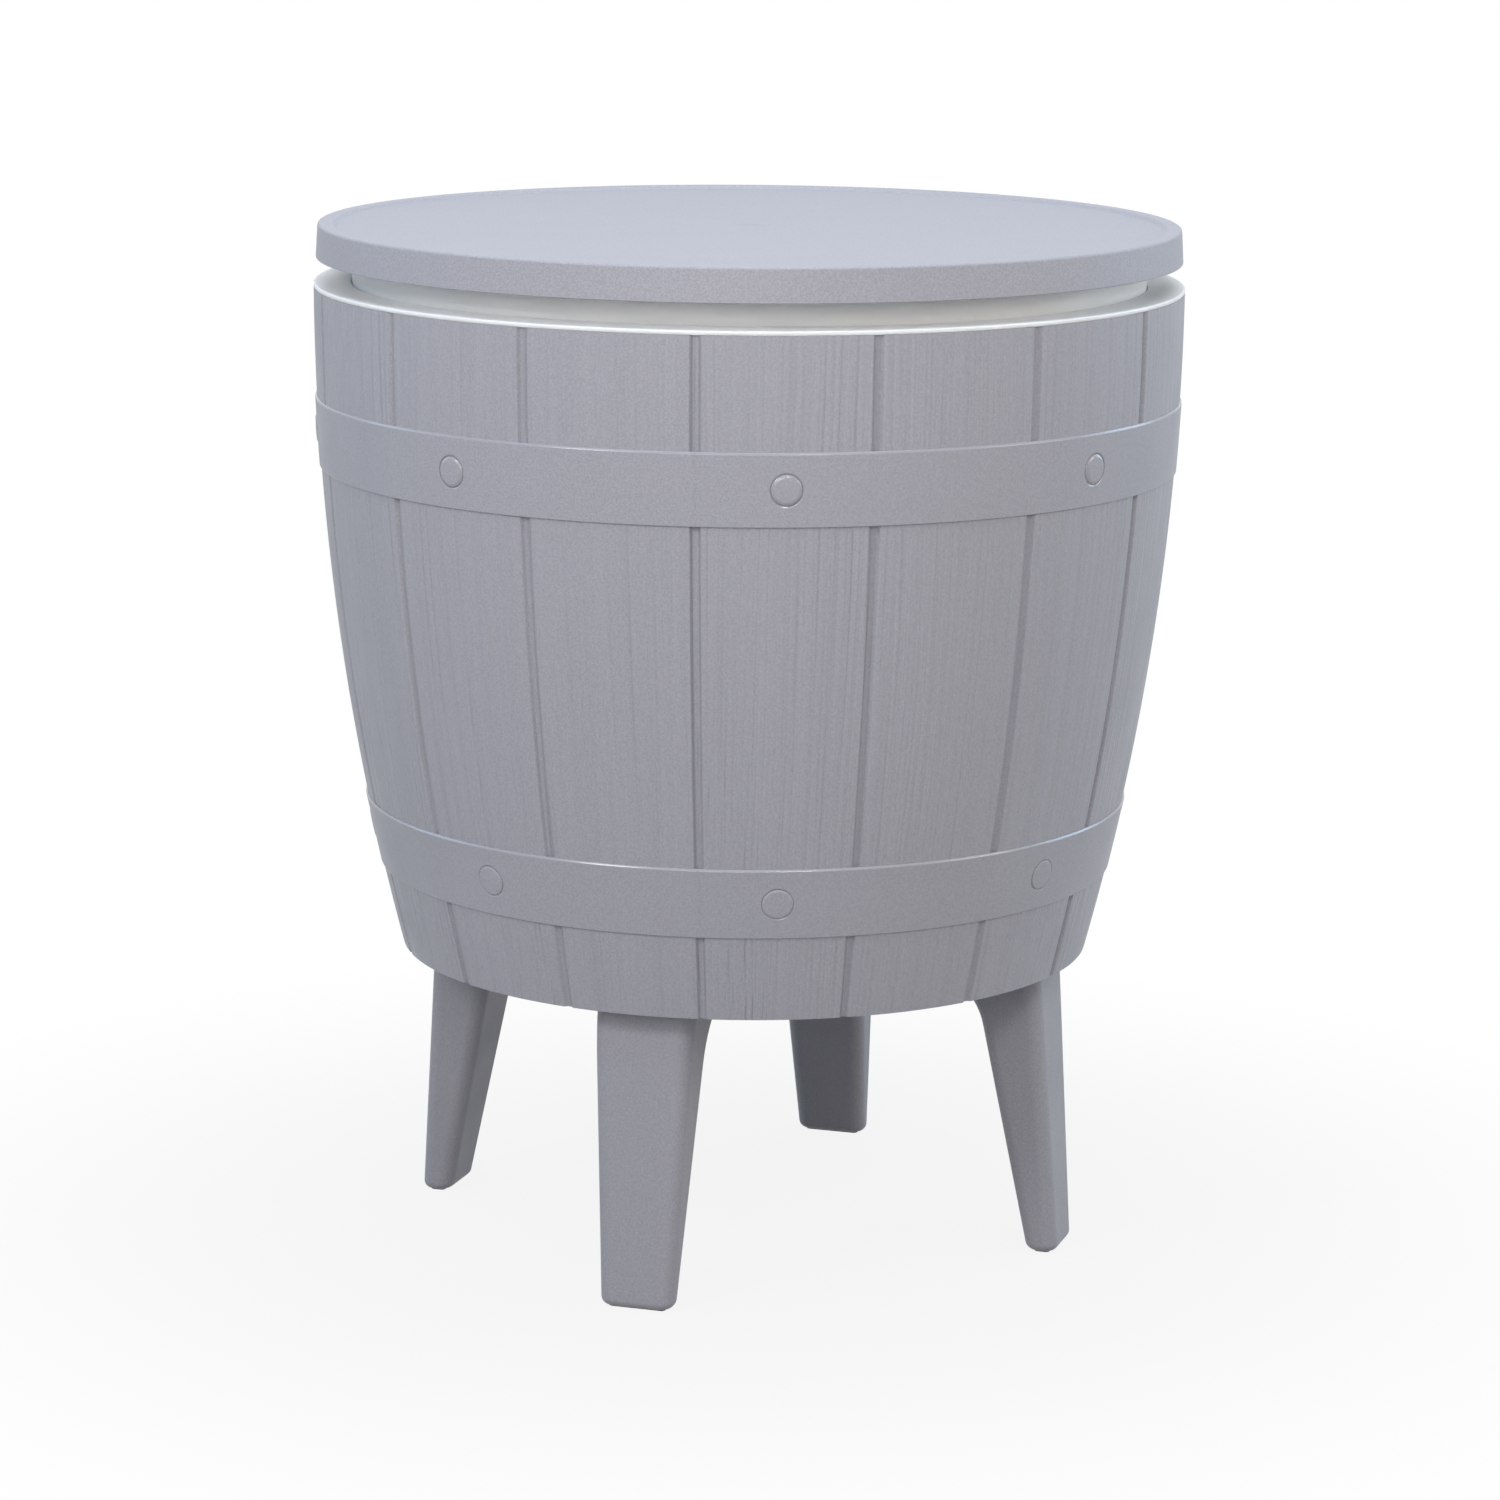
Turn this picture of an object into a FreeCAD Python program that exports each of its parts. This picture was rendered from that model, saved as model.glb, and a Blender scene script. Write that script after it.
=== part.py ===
import FreeCAD, Part
import Sketcher
import math
import os

# Cooler table with lid: a barrel-shaped ice bucket on four legs, with a round
# table top that lifts on a telescopic post and locks with a turn.
# Millimetres, +Z up, the floor at Z = 0, the barrel's axis on Z.

DRIVING_SIZES = {
    # Barrel
    "leg_height": 170.5,
    "barrel_height": 380.5,
    "barrel_top_radius": 247.5,
    "barrel_bottom_radius": 199.0,
    "barrel_wall": 3.2,
    "barrel_floor": 4.0,
    "stave_count": 16,
    "seam_angle": 1.45,
    "seam_depth": 1.6,
    "seam_overrun": 7.5,
    "hoop_width": 40.0,
    "hoop_proud": 1.0,
    "hoop_root": 1.0,
    "upper_hoop_rise": 279.2,
    "lower_hoop_rise": 49.0,
    "rivet_count": 8,
    "rivet_radius": 9.25,
    "upper_rivet_crown": 2.2,
    "lower_rivet_crown": 1.4,
    "rivet_root": 1.5,
    # Ice bucket
    "bucket_wall": 3.0,
    "bucket_flange": 2.5,
    "mouth_radius": 228.3,
    "ledge_drop": 12.5,
    "ledge_width": 12.3,
    "bucket_depth": 316.0,
    "bucket_floor_radius": 160.0,
    "bucket_corner": 14.0,
    "lip_depth": 8.0,
    "lip_thickness": 2.0,
    "lip_clearance": 0.5,
    "cup_depth": 32.0,
    "cup_rise": 15.0,
    "cup_wall": 3.5,
    "prop_wall": 3.5,
    "prop_clearance": 1.3,
    "service_hole_radius": 14.0,
    # Drain
    "drain_offset": 105.0,
    "drain_bore_radius": 9.5,
    "drain_spout_wall": 3.5,
    "drain_hole_clearance": 0.5,
    "plug_clearance": 0.08,
    "plug_stem": 20.0,
    "plug_head_radius": 15.0,
    "plug_head": 4.5,
    "plug_grip_radius": 5.0,
    "plug_grip": 9.0,
    "plug_bead": 1.5,
    # Legs
    "leg_count": 4,
    "leg_top_outer": 184.7,
    "leg_top_inner": 143.5,
    "leg_top_half_width": 29.0,
    "leg_foot_outer": 196.5,
    "leg_foot_inner": 178.0,
    "leg_foot_half_width": 21.2,
    "leg_wall": 3.0,
    "leg_corner": 7.0,
    "leg_toe_round": 5.5,
    "leg_flare": 8.0,
    "tab_length": 36.0,
    "tab_thickness": 4.0,
    "tab_weld": 2.7,
    "tab_half_width": 21.0,
    "tab_corner": 10.0,
    "tab_screw_inset": 14.0,
    "tab_screw_half_gap": 11.0,
    "spigot_depth": 9.0,
    "spigot_wall": 2.5,
    "spigot_clearance": 0.4,
    "leg_boss_radius": 5.5,
    "leg_boss_height": 16.0,
    "pad_rise": 1.5,
    "pad_recess": 1.5,
    "pad_inset": 5.0,
    "pad_clearance": 0.2,
    "pad_corner": 2.5,
    # Screws
    "screw_radius": 2.0,
    "screw_clearance": 0.3,
    "pilot_clearance": 0.05,
    "screw_head_radius": 4.2,
    "screw_head": 2.8,
    "screw_bite": 14.0,
    # Post
    "post_radius": 20.0,
    "tube_wall": 1.5,
    "post_seat_clearance": 0.2,
    "post_length": 333.0,
    "base_plug_height": 10.0,
    "base_screw_radius": 4.0,
    "base_screw_head_radius": 7.0,
    "base_screw_head": 4.5,
    "base_screw_bite": 8.0,
    "mast_radius": 16.5,
    "running_clearance": 0.08,
    "collar_wall": 3.4,
    "collar_skirt": 18.0,
    "collar_cap": 4.0,
    "collar_chamfer": 1.2,
    # Twist lock
    "lock_start": 11.0,
    "lock_screw_head": 3.0,
    "lock_washer": 2.0,
    "lock_washer_radius": 15.0,
    "lock_collar_height": 18.4,
    "lock_end_play": 0.3,
    "lock_pin_radius": 7.0,
    "lock_throw": 1.2,
    "lock_slot": 2.0,
    "core_flange": 3.0,
    "core_length": 18.0,
    # Lid
    "finger_gap": 14.0,
    "lid_rest_gap": 0.3,
    "lid_side": 19.0,
    "lid_top_radius": 245.0,
    "lid_skirt_radius": 246.2,
    "lid_wall": 3.0,
    "rim_height": 1.8,
    "rim_width": 3.6,
    "rim_slope": 1.4,
    "rim_chamfer": 1.2,
    "pan_radius": 225.8,
    "pan_wall": 2.5,
    "pan_recess": 2.7,
    "pan_rim_width": 8.0,
    "lid_screw_count": 8,
    "lid_screw_circle": 206.0,
    "lid_boss_radius": 6.0,
    # Post head
    "head_radius": 42.0,
    "head_plate": 4.0,
    "head_socket_wall": 3.5,
    "head_socket_depth": 20.0,
    "head_cap": 3.0,
    "head_fit": 0.05,
    "head_screw_count": 4,
    "head_screw_circle": 32.0,
    "head_pin_radius": 2.0,
    "head_pin_height": 11.0,
    # Motion
    "lift_travel": 255.0,
}

doc = FreeCAD.newDocument("cooler_table")
sheet = doc.addObject("Spreadsheet::Sheet", "Sizes")
for row, (alias, size) in enumerate(DRIVING_SIZES.items(), start=1):
    sheet.set("A%d" % row, alias)
    sheet.set("B%d" % row, str(size))
    sheet.setAlias("B%d" % row, alias)
doc.recompute()


# Lengths that follow from the driving sizes, as expressions on the sheet

def sized(text):
    """Write $name in a formula for a size of the sheet."""
    return text.replace("$", "Sizes.")


STAVE_ARC = sized("((($barrel_top_radius - $barrel_bottom_radius)^2 + $barrel_height^2)"
                  " / (2 * ($barrel_top_radius - $barrel_bottom_radius)))")
STAVE_CENTRE = sized("($barrel_top_radius - " + STAVE_ARC + ")")
RIVET_TURN = sized("(180 / $rivet_count)")
LEG_TURN = sized("(180 / $leg_count)")

BARREL_TOP = sized("($leg_height + $barrel_height)")
LEDGE = sized("(" + BARREL_TOP + " + $bucket_flange - $ledge_drop)")
BUCKET_FLOOR = sized("(" + LEDGE + " - $bucket_depth)")
CUP_FLOOR = sized("(" + BUCKET_FLOOR + " - $cup_depth)")
BUCKET_BASE = sized("(" + CUP_FLOOR + " - $bucket_wall)")
POST_TOP = sized("(" + CUP_FLOOR + " + $post_length)")
TUBE_BORE = sized("($post_radius - $tube_wall)")
MAST_BORE = sized("($mast_radius - $tube_wall)")
CUP_BORE = sized("($post_radius + $post_seat_clearance)")
CUP_RADIUS = sized("(" + CUP_BORE + " + $cup_wall)")
PROP_BORE = sized("(" + CUP_RADIUS + " + $prop_clearance)")
SPOUT_RADIUS = sized("($drain_bore_radius + $drain_spout_wall)")

LOCK_BASE = sized("(" + CUP_FLOOR + " + $lock_start)")
LOCK_WASHER = sized("(" + LOCK_BASE + " + $lock_screw_head)")
LOCK_COLLAR = sized("(" + LOCK_WASHER + " + $lock_washer + $lock_end_play)")
CORE_FLANGE = sized("(" + LOCK_COLLAR + " + $lock_collar_height + $lock_end_play)")
MAST_FOOT = sized("(" + CORE_FLANGE + " + $core_flange)")
BUSH_FOOT = sized("(" + LOCK_COLLAR + " + $lock_collar_height + $lift_travel + $lock_end_play)")

SKIRT = sized("(" + BARREL_TOP + " + $bucket_flange + $finger_gap)")
TABLE_PLATE = sized("($lid_side - $rim_height - $lid_wall)")
PAN = sized("(" + LEDGE + " + $lid_rest_gap)")
PAN_PLATE = sized("(" + PAN + " + $pan_recess)")
PAN_HEIGHT = sized("(" + SKIRT + " + " + TABLE_PLATE + " - " + PAN + ")")
BOSS_DROP = sized("(" + SKIRT + " + " + TABLE_PLATE + " - " + PAN_PLATE + " - $pan_wall)")
HEAD = sized("(" + PAN_PLATE + " - $head_plate)")
HEAD_BORE = sized("($mast_radius + $head_fit)")
HEAD_SOCKET = sized("(" + HEAD_BORE + " + $head_socket_wall)")
MAST_TOP = sized("(" + PAN_PLATE + " + $head_socket_depth)")


def worth(formula):
    """The present value of a formula."""
    return float(sheet.evalExpression(sized(formula)))


# Sketch and feature helpers

TOUCH = 0.01


def origin_part(body, role):
    return next(item for item in body.Origin.OriginFeatures if item.Role == role)


def new_body(label, height="0", turn="0"):
    """A body whose own frame stands at a height on the barrel's axis, turned about it."""
    body = doc.addObject("PartDesign::Body", label)
    body.Label = label
    body.AllowCompound = True
    body.Placement = FreeCAD.Placement(FreeCAD.Vector(), FreeCAD.Rotation(FreeCAD.Vector(0, 0, 1), 1))
    body.setExpression("Placement.Base.z", sized(height))
    body.setExpression("Placement.Rotation.Angle", sized(turn))
    return body


def new_sketch(body, name, role, spin_axis=(0, 0, 1), **offsets):
    """A sketch on one of the body's origin planes, moved or turned by formulas."""
    sketch = body.newObject("Sketcher::SketchObject", name)
    sketch.AttachmentSupport = [(origin_part(body, role), "")]
    sketch.MapMode = "FlatFace"
    spin = FreeCAD.Rotation(FreeCAD.Vector(*spin_axis), 1)
    sketch.AttachmentOffset = FreeCAD.Placement(FreeCAD.Vector(), spin)
    sketch.setExpression("AttachmentOffset.Rotation.Angle", sized(offsets.pop("spin", "0")))
    for axis, formula in offsets.items():
        sketch.setExpression("AttachmentOffset.Base." + axis, sized(formula))
    return sketch


def hold(sketch, geometry, point, across, up):
    """Tie a point of the sketch to its two coordinates; None leaves one to its curve."""
    for kind, axis, formula in (("DistanceX", -2, across), ("DistanceY", -1, up)):
        if formula is None:
            continue
        value = worth(formula)
        if formula == "0":
            sketch.addConstraint(Sketcher.Constraint("PointOnObject", geometry, point, axis))
            continue
        index = sketch.addConstraint(Sketcher.Constraint(kind, -1, 1, geometry, point, value))
        sketch.setExpression("Constraints[%d]" % index, sized(formula))


def hold_radius(sketch, geometry, formula):
    index = sketch.addConstraint(Sketcher.Constraint("Radius", geometry, worth(formula)))
    sketch.setExpression("Constraints[%d]" % index, sized(formula))


def draw_outline(sketch, corners, arcs=None):
    """Draw a closed outline through the corners. An entry of arcs, by the number of the side,
    gives the side's centre and radius; a corner's None is the coordinate that the arc decides."""
    arcs = arcs or {}
    places = []
    for number, (across, up) in enumerate(corners):
        if across is None or up is None:
            centre_x, centre_y, radius = (worth(size) for size in arcs.get(number) or arcs[number - 1])
        if across is None:
            reach = math.sqrt(radius ** 2 - (worth(up) - centre_y) ** 2)
            places.append((centre_x + reach, worth(up)))
        elif up is None:
            reach = math.sqrt(radius ** 2 - (worth(across) - centre_x) ** 2)
            places.append((worth(across), centre_y + reach))
        else:
            places.append((worth(across), worth(up)))
    sides = []
    for number, place in enumerate(places):
        following = places[(number + 1) % len(places)]
        if number in arcs:
            centre_x, centre_y, radius = (worth(formula) for formula in arcs[number])
            angles = [math.atan2(spot[1] - centre_y, spot[0] - centre_x) for spot in (place, following)]
            circle = Part.Circle(FreeCAD.Vector(centre_x, centre_y, 0), FreeCAD.Vector(0, 0, 1), radius)
            curve = Part.ArcOfCircle(circle, min(angles), max(angles))
            ends = (1, 2) if angles[1] > angles[0] else (2, 1)
        else:
            curve = Part.LineSegment(FreeCAD.Vector(*place, 0), FreeCAD.Vector(*following, 0))
            ends = (1, 2)
        sides.append((sketch.addGeometry(curve, False), ends))
    for number, (geometry, ends) in enumerate(sides):
        after, after_ends = sides[(number + 1) % len(sides)]
        sketch.addConstraint(Sketcher.Constraint("Coincident", geometry, ends[1], after, after_ends[0]))
    for number, (centre_x, centre_y, radius) in arcs.items():
        hold(sketch, sides[number][0], 3, centre_x, centre_y)
        hold_radius(sketch, sides[number][0], radius)
    for (geometry, ends), (across, up) in zip(sides, corners):
        hold(sketch, geometry, ends[0], across, up)


def draw_circle(sketch, across, up, radius):
    centre = FreeCAD.Vector(worth(across), worth(up), 0)
    circle = Part.Circle(centre, FreeCAD.Vector(0, 0, 1), worth(radius))
    geometry = sketch.addGeometry(circle, False)
    hold(sketch, geometry, 3, across, up)
    hold_radius(sketch, geometry, radius)


def draw_rectangle(sketch, low_x, high_x, half_width):
    low = "-(" + half_width + ")"
    draw_outline(sketch, [(low_x, low), (high_x, low), (high_x, half_width), (low_x, half_width)])


def draw_rounded_rectangle(sketch, low_x, high_x, half_width, corner):
    low, high, half, radius = (worth(size) for size in (low_x, high_x, half_width, corner))
    turns = ((high, -half), (high, half), (low, half), (low, -half))
    curves = []
    for number, (across, up) in enumerate(turns):
        before_x, before_y = turns[number - 1]
        in_x, in_y = math.copysign(radius, low + high - 2 * across), math.copysign(radius, -up)
        along_x = in_x if before_x != across else 0
        along_y = in_y if before_y != up else 0
        start = (before_x - along_x, before_y - along_y)
        end = (across + along_x, up + along_y)
        curves.append(Part.LineSegment(FreeCAD.Vector(*start, 0), FreeCAD.Vector(*end, 0)))
        circle = Part.Circle(FreeCAD.Vector(across + in_x, up + in_y, 0), FreeCAD.Vector(0, 0, 1), radius)
        opening = (number - 1) * math.pi / 2
        curves.append(Part.ArcOfCircle(circle, opening, opening + math.pi / 2))
    drawn = [sketch.addGeometry(curve, False) for curve in curves]
    for number, geometry in enumerate(drawn):
        sketch.addConstraint(Sketcher.Constraint("Tangent", geometry, 2, drawn[(number + 1) % 8], 1))
    for geometry in drawn[3::2]:
        sketch.addConstraint(Sketcher.Constraint("Equal", drawn[1], geometry))
    for geometry, direction in zip(drawn[0::2], ("Horizontal", "Vertical") * 2):
        sketch.addConstraint(Sketcher.Constraint(direction, geometry))
    hold_radius(sketch, drawn[1], corner)
    hold(sketch, drawn[0], 1, None, "-(" + half_width + ")")
    hold(sketch, drawn[2], 1, high_x, None)
    hold(sketch, drawn[4], 1, None, half_width)
    hold(sketch, drawn[6], 1, low_x, None)


def revolve(body, sketch, name, kind="Revolution", axis="V_Axis", angle="360", midplane=False):
    feature = body.newObject("PartDesign::" + kind, name)
    feature.Profile = sketch
    feature.ReferenceAxis = (sketch, [axis])
    feature.setExpression("Angle", sized(angle))
    feature.Midplane = midplane
    return feature


def extrude(body, sketch, name, length, kind="Pad", backwards=False):
    feature = body.newObject("PartDesign::" + kind, name)
    feature.Profile = sketch
    feature.setExpression("Length", sized(length))
    feature.Reversed = backwards
    return feature


def repeat_round(body, features, name, count):
    pattern = body.newObject("PartDesign::PolarPattern", name)
    pattern.Originals = features
    pattern.Axis = (origin_part(body, "Z_Axis"), [""])
    pattern.Angle = 360
    pattern.setExpression("Occurrences", sized(count))
    body.Tip = pattern
    return pattern


def dress_edges(body, base, name, size, wanted, kind="Fillet"):
    """Round or bevel the edges of the feature that the test picks."""
    doc.recompute()
    picked = ["Edge%d" % number for number, edge in enumerate(base.Shape.Edges, start=1) if wanted(edge)]
    dressed = body.newObject("PartDesign::" + kind, name)
    dressed.Base = (base, picked)
    dressed.setExpression("Radius" if kind == "Fillet" else "Size", sized(size))
    return dressed


def is_ring(edge, radius, height):
    """Whether the edge is a circle about the axis, of this radius and height."""
    low, high = edge.BoundBox.ZMin, edge.BoundBox.ZMax
    flat = abs(high - height) < TOUCH and abs(low - height) < TOUCH
    reach = max(math.hypot(vertex.X, vertex.Y) for vertex in edge.Vertexes)
    return flat and abs(reach - radius) < TOUCH


def turned(label, height, corners, turn="0"):
    """A body made by one full revolution of an outline, its frame at the height."""
    body = new_body(label, height, turn)
    sketch = new_sketch(body, label + "_profile", "XZ_Plane")
    draw_outline(sketch, corners)
    revolve(body, sketch, label + "_turned")
    return body


# Barrel

def stave_arc(offset):
    """The staves' outer curve, or one parallel to it, tangent to the axis at the top edge."""
    return (STAVE_CENTRE, "$barrel_height", "(" + STAVE_ARC + " + (" + offset + "))")


def stave_radius(offset, rise):
    """The radius of that curve at a height above the barrel's foot."""
    reach = "(" + STAVE_ARC + " + (" + offset + "))"
    drop = "($barrel_height - (" + rise + "))"
    return "(" + STAVE_CENTRE + " + sqrt(" + reach + "^2 - " + drop + "^2))"


def add_hoop(body, name, rise):
    """A moulded band that lies along the staves, rooted below the seams."""
    sketch = new_sketch(body, name + "_profile", "XZ_Plane")
    low, high = rise, rise + " + $hoop_width"
    root = "-$seam_depth - $hoop_root"
    draw_outline(sketch, [
        (stave_radius(root, low), low),
        (stave_radius(root, high), high),
        (stave_radius("$hoop_proud", high), high),
        (stave_radius("$hoop_proud", low), low),
    ])
    return revolve(body, sketch, name)


def add_rivets(body, name, rise, crown):
    """Shallow domes square to the hoop's face, one in the middle of every other stave."""
    middle = "(" + rise + " + $hoop_width / 2)"
    lean = "asin(($barrel_height - " + middle + ") / (" + STAVE_ARC + " + $hoop_proud))"
    sketch = new_sketch(body, name + "_profile", "XZ_Plane", x=stave_radius("$hoop_proud", middle),
                        y=middle, spin="-" + lean + " / 1 rad * 180 / pi")
    ball = "(($rivet_radius^2 + " + crown + "^2) / (2 * " + crown + "))"
    draw_outline(sketch, [
        ("-$rivet_root", "0"),
        (None, "0"),
        (None, "$rivet_radius"),
        ("-$rivet_root", "$rivet_radius"),
    ], {1: (crown + " - " + ball, "0", ball)})
    dome = revolve(body, sketch, name, axis="H_Axis")
    return repeat_round(body, [dome], name + "_round", "$rivet_count")


def barrel_shell():
    body = new_body("barrel_shell", "$leg_height", RIVET_TURN)
    prop_top = "(" + BUCKET_FLOOR + " - $bucket_wall - $leg_height)"
    sketch = new_sketch(body, "barrel_profile", "XZ_Plane")
    draw_outline(sketch, [
        ("$service_hole_radius", "0"),
        (None, "0"),
        (None, "$barrel_height"),
        (None, "$barrel_height"),
        (None, "$barrel_floor"),
        (PROP_BORE + " + $prop_wall", "$barrel_floor"),
        (PROP_BORE + " + $prop_wall", prop_top),
        (PROP_BORE, prop_top),
        (PROP_BORE, "$barrel_floor"),
        ("$service_hole_radius", "$barrel_floor"),
    ], {1: stave_arc("0"), 3: stave_arc("-$barrel_wall")})
    revolve(body, sketch, "barrel_turned")

    sketch = new_sketch(body, "seam_profile", "XZ_Plane", (0, 1, 0), spin="180 / $stave_count")
    draw_outline(sketch, [
        (None, "-$seam_overrun"),
        (None, "$barrel_height + $seam_overrun"),
        ("$barrel_top_radius + $seam_overrun", "$barrel_height + $seam_overrun"),
        ("$barrel_top_radius + $seam_overrun", "-$seam_overrun"),
    ], {0: stave_arc("-$seam_depth")})
    seam = revolve(body, sketch, "seam", "Groove", angle="$seam_angle", midplane=True)
    repeat_round(body, [seam], "seams", "$stave_count")

    add_hoop(body, "upper_hoop", "$upper_hoop_rise")
    add_hoop(body, "lower_hoop", "$lower_hoop_rise")
    add_rivets(body, "upper_rivets", "$upper_hoop_rise", "$upper_rivet_crown")
    add_rivets(body, "lower_rivets", "$lower_hoop_rise", "$lower_rivet_crown")

    # Seats, bosses and pilot holes for the legs
    turn = LEG_TURN + " - " + RIVET_TURN
    sketch = new_sketch(body, "spigot_outline", "XY_Plane", spin=turn)
    low, high, half = leg_section("($leg_height - $spigot_depth)", "($leg_wall + $spigot_clearance)")
    high = "($leg_top_outer - $leg_wall - $spigot_clearance)"
    corner = "($leg_corner - $leg_wall)"
    draw_rounded_rectangle(sketch, low, high, half, corner)
    draw_rounded_rectangle(sketch, low + " + $spigot_wall", high + " - $spigot_wall",
                           half + " - $spigot_wall", corner + " - $spigot_wall")
    spigot = extrude(body, sketch, "spigot", "$spigot_depth", backwards=True)
    sketch = new_sketch(body, "leg_boss_outline", "XY_Plane", spin=turn, z="$barrel_floor / 2")
    for side in ("", "-"):
        draw_circle(sketch, LEG_SCREW, side + "$tab_screw_half_gap", "$leg_boss_radius")
    boss = extrude(body, sketch, "leg_boss", "$leg_boss_height + $barrel_floor / 2")
    repeat_round(body, [spigot, boss], "leg_seats", "$leg_count")
    sketch = new_sketch(body, "leg_pilot_outline", "XY_Plane", spin=turn)
    for side in ("", "-"):
        draw_circle(sketch, LEG_SCREW, side + "$tab_screw_half_gap", "$screw_radius + $pilot_clearance")
    pilot = extrude(body, sketch, "leg_pilot", "$screw_bite", "Pocket", backwards=True)
    repeat_round(body, [pilot], "leg_pilots", "$leg_count")

    sketch = new_sketch(body, "drain_hole_outline", "XY_Plane", spin="90 - " + RIVET_TURN)
    draw_circle(sketch, "$drain_offset", "0", SPOUT_RADIUS + " + $drain_hole_clearance")
    extrude(body, sketch, "drain_hole", "2 * $barrel_floor", "Pocket", backwards=True)
    return body


# Ice bucket

def ice_bucket():
    body = new_body("ice_bucket", BUCKET_BASE)
    floor = "($cup_depth + $bucket_wall)"
    ledge = "(" + floor + " + $bucket_depth)"
    rim = "(" + ledge + " + $ledge_drop)"
    ledge_radius = "($mouth_radius - $ledge_width)"
    lip_outer = "($barrel_top_radius - $barrel_wall - $lip_clearance)"
    sketch = new_sketch(body, "bucket_profile", "XZ_Plane")
    draw_outline(sketch, [
        ("$base_screw_radius + $screw_clearance", "0"),
        (CUP_RADIUS, "0"),
        (CUP_RADIUS, floor + " - $bucket_wall"),
        ("$bucket_floor_radius + $bucket_wall", floor + " - $bucket_wall"),
        (ledge_radius + " + $bucket_wall", ledge + " - $bucket_wall"),
        ("$mouth_radius + $bucket_wall", ledge + " - $bucket_wall"),
        ("$mouth_radius + $bucket_wall", rim + " - $bucket_flange"),
        (lip_outer + " - $lip_thickness", rim + " - $bucket_flange"),
        (lip_outer + " - $lip_thickness", rim + " - $bucket_flange - $lip_depth"),
        (lip_outer, rim + " - $bucket_flange - $lip_depth"),
        (lip_outer, rim + " - $bucket_flange"),
        ("$barrel_top_radius", rim + " - $bucket_flange"),
        ("$barrel_top_radius", rim),
        ("$mouth_radius", rim),
        ("$mouth_radius", ledge),
        (ledge_radius, ledge),
        ("$bucket_floor_radius", floor),
        (CUP_RADIUS, floor),
        (CUP_RADIUS, floor + " + $cup_rise"),
        (CUP_BORE, floor + " + $cup_rise"),
        (CUP_BORE, "$bucket_wall"),
        ("$base_screw_radius + $screw_clearance", "$bucket_wall"),
    ])
    wall = revolve(body, sketch, "bucket_turned")
    inside = dress_edges(body, wall, "inner_corner", "$bucket_corner",
                         lambda edge: is_ring(edge, worth("$bucket_floor_radius"), worth(floor)))
    dress_edges(body, inside, "outer_corner", "$bucket_corner / sqrt(2)",
                lambda edge: is_ring(edge, worth("$bucket_floor_radius + $bucket_wall"),
                                     worth(floor + " - $bucket_wall")), "Chamfer")

    sketch = new_sketch(body, "spout_outline", "XY_Plane", spin="90", z=floor + " - $bucket_wall / 2")
    draw_circle(sketch, "$drain_offset", "0", SPOUT_RADIUS)
    extrude(body, sketch, "spout", floor + " - $bucket_wall / 2 + " + BUCKET_BASE + " - $leg_height",
            backwards=True)
    sketch = new_sketch(body, "spout_bore_outline", "XY_Plane", spin="90", z=floor + " + $bucket_wall")
    draw_circle(sketch, "$drain_offset", "0", "$drain_bore_radius")
    extrude(body, sketch, "spout_bore", "2 * (" + floor + " + " + BUCKET_BASE + " - $leg_height)", "Pocket")
    return body


# Drain plug

def drain_plug():
    """A rubber stopper, pushed up into the spout from below."""
    stem = "($drain_bore_radius - $plug_clearance)"
    head_top = "($plug_grip + $plug_head)"
    top = "(" + head_top + " + $plug_stem)"
    body = new_body("drain_plug", "$leg_height - $lid_rest_gap - " + head_top)
    sketch = new_sketch(body, "drain_plug_profile", "XZ_Plane")
    draw_outline(sketch, [
        ("0", "0"),
        ("$plug_grip_radius + $plug_bead", "0"),
        ("$plug_grip_radius + $plug_bead", "$plug_bead"),
        ("$plug_grip_radius", "2 * $plug_bead"),
        ("$plug_grip_radius", "$plug_grip"),
        ("$plug_head_radius", "$plug_grip"),
        ("$plug_head_radius", head_top),
        (stem, head_top),
        (stem, top + " - $plug_bead"),
        (stem + " - $plug_bead", top),
        ("0", top),
    ])
    revolve(body, sketch, "drain_plug_turned")
    body.setExpression("Placement.Base.y", sized("$drain_offset"))
    return body


# Legs

def leg_between(foot, top, level):
    """A leg size at a level above the floor, on the straight line from foot to top."""
    return ("(" + foot + " + (" + top + " - " + foot + ") * (" + level + " - $pad_rise)"
            " / ($leg_height - $pad_rise))")


def leg_section(level, inset="0"):
    low = leg_between("$leg_foot_inner", "$leg_top_inner", level)
    high = leg_between("$leg_foot_outer", "$leg_top_outer", level)
    half = leg_between("$leg_foot_half_width", "$leg_top_half_width", level)
    return "(" + low + " + " + inset + ")", "(" + high + " - " + inset + ")", "(" + half + " - " + inset + ")"


LEG_SCREW = "($leg_top_inner - $tab_length + $tab_screw_inset)"


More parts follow.
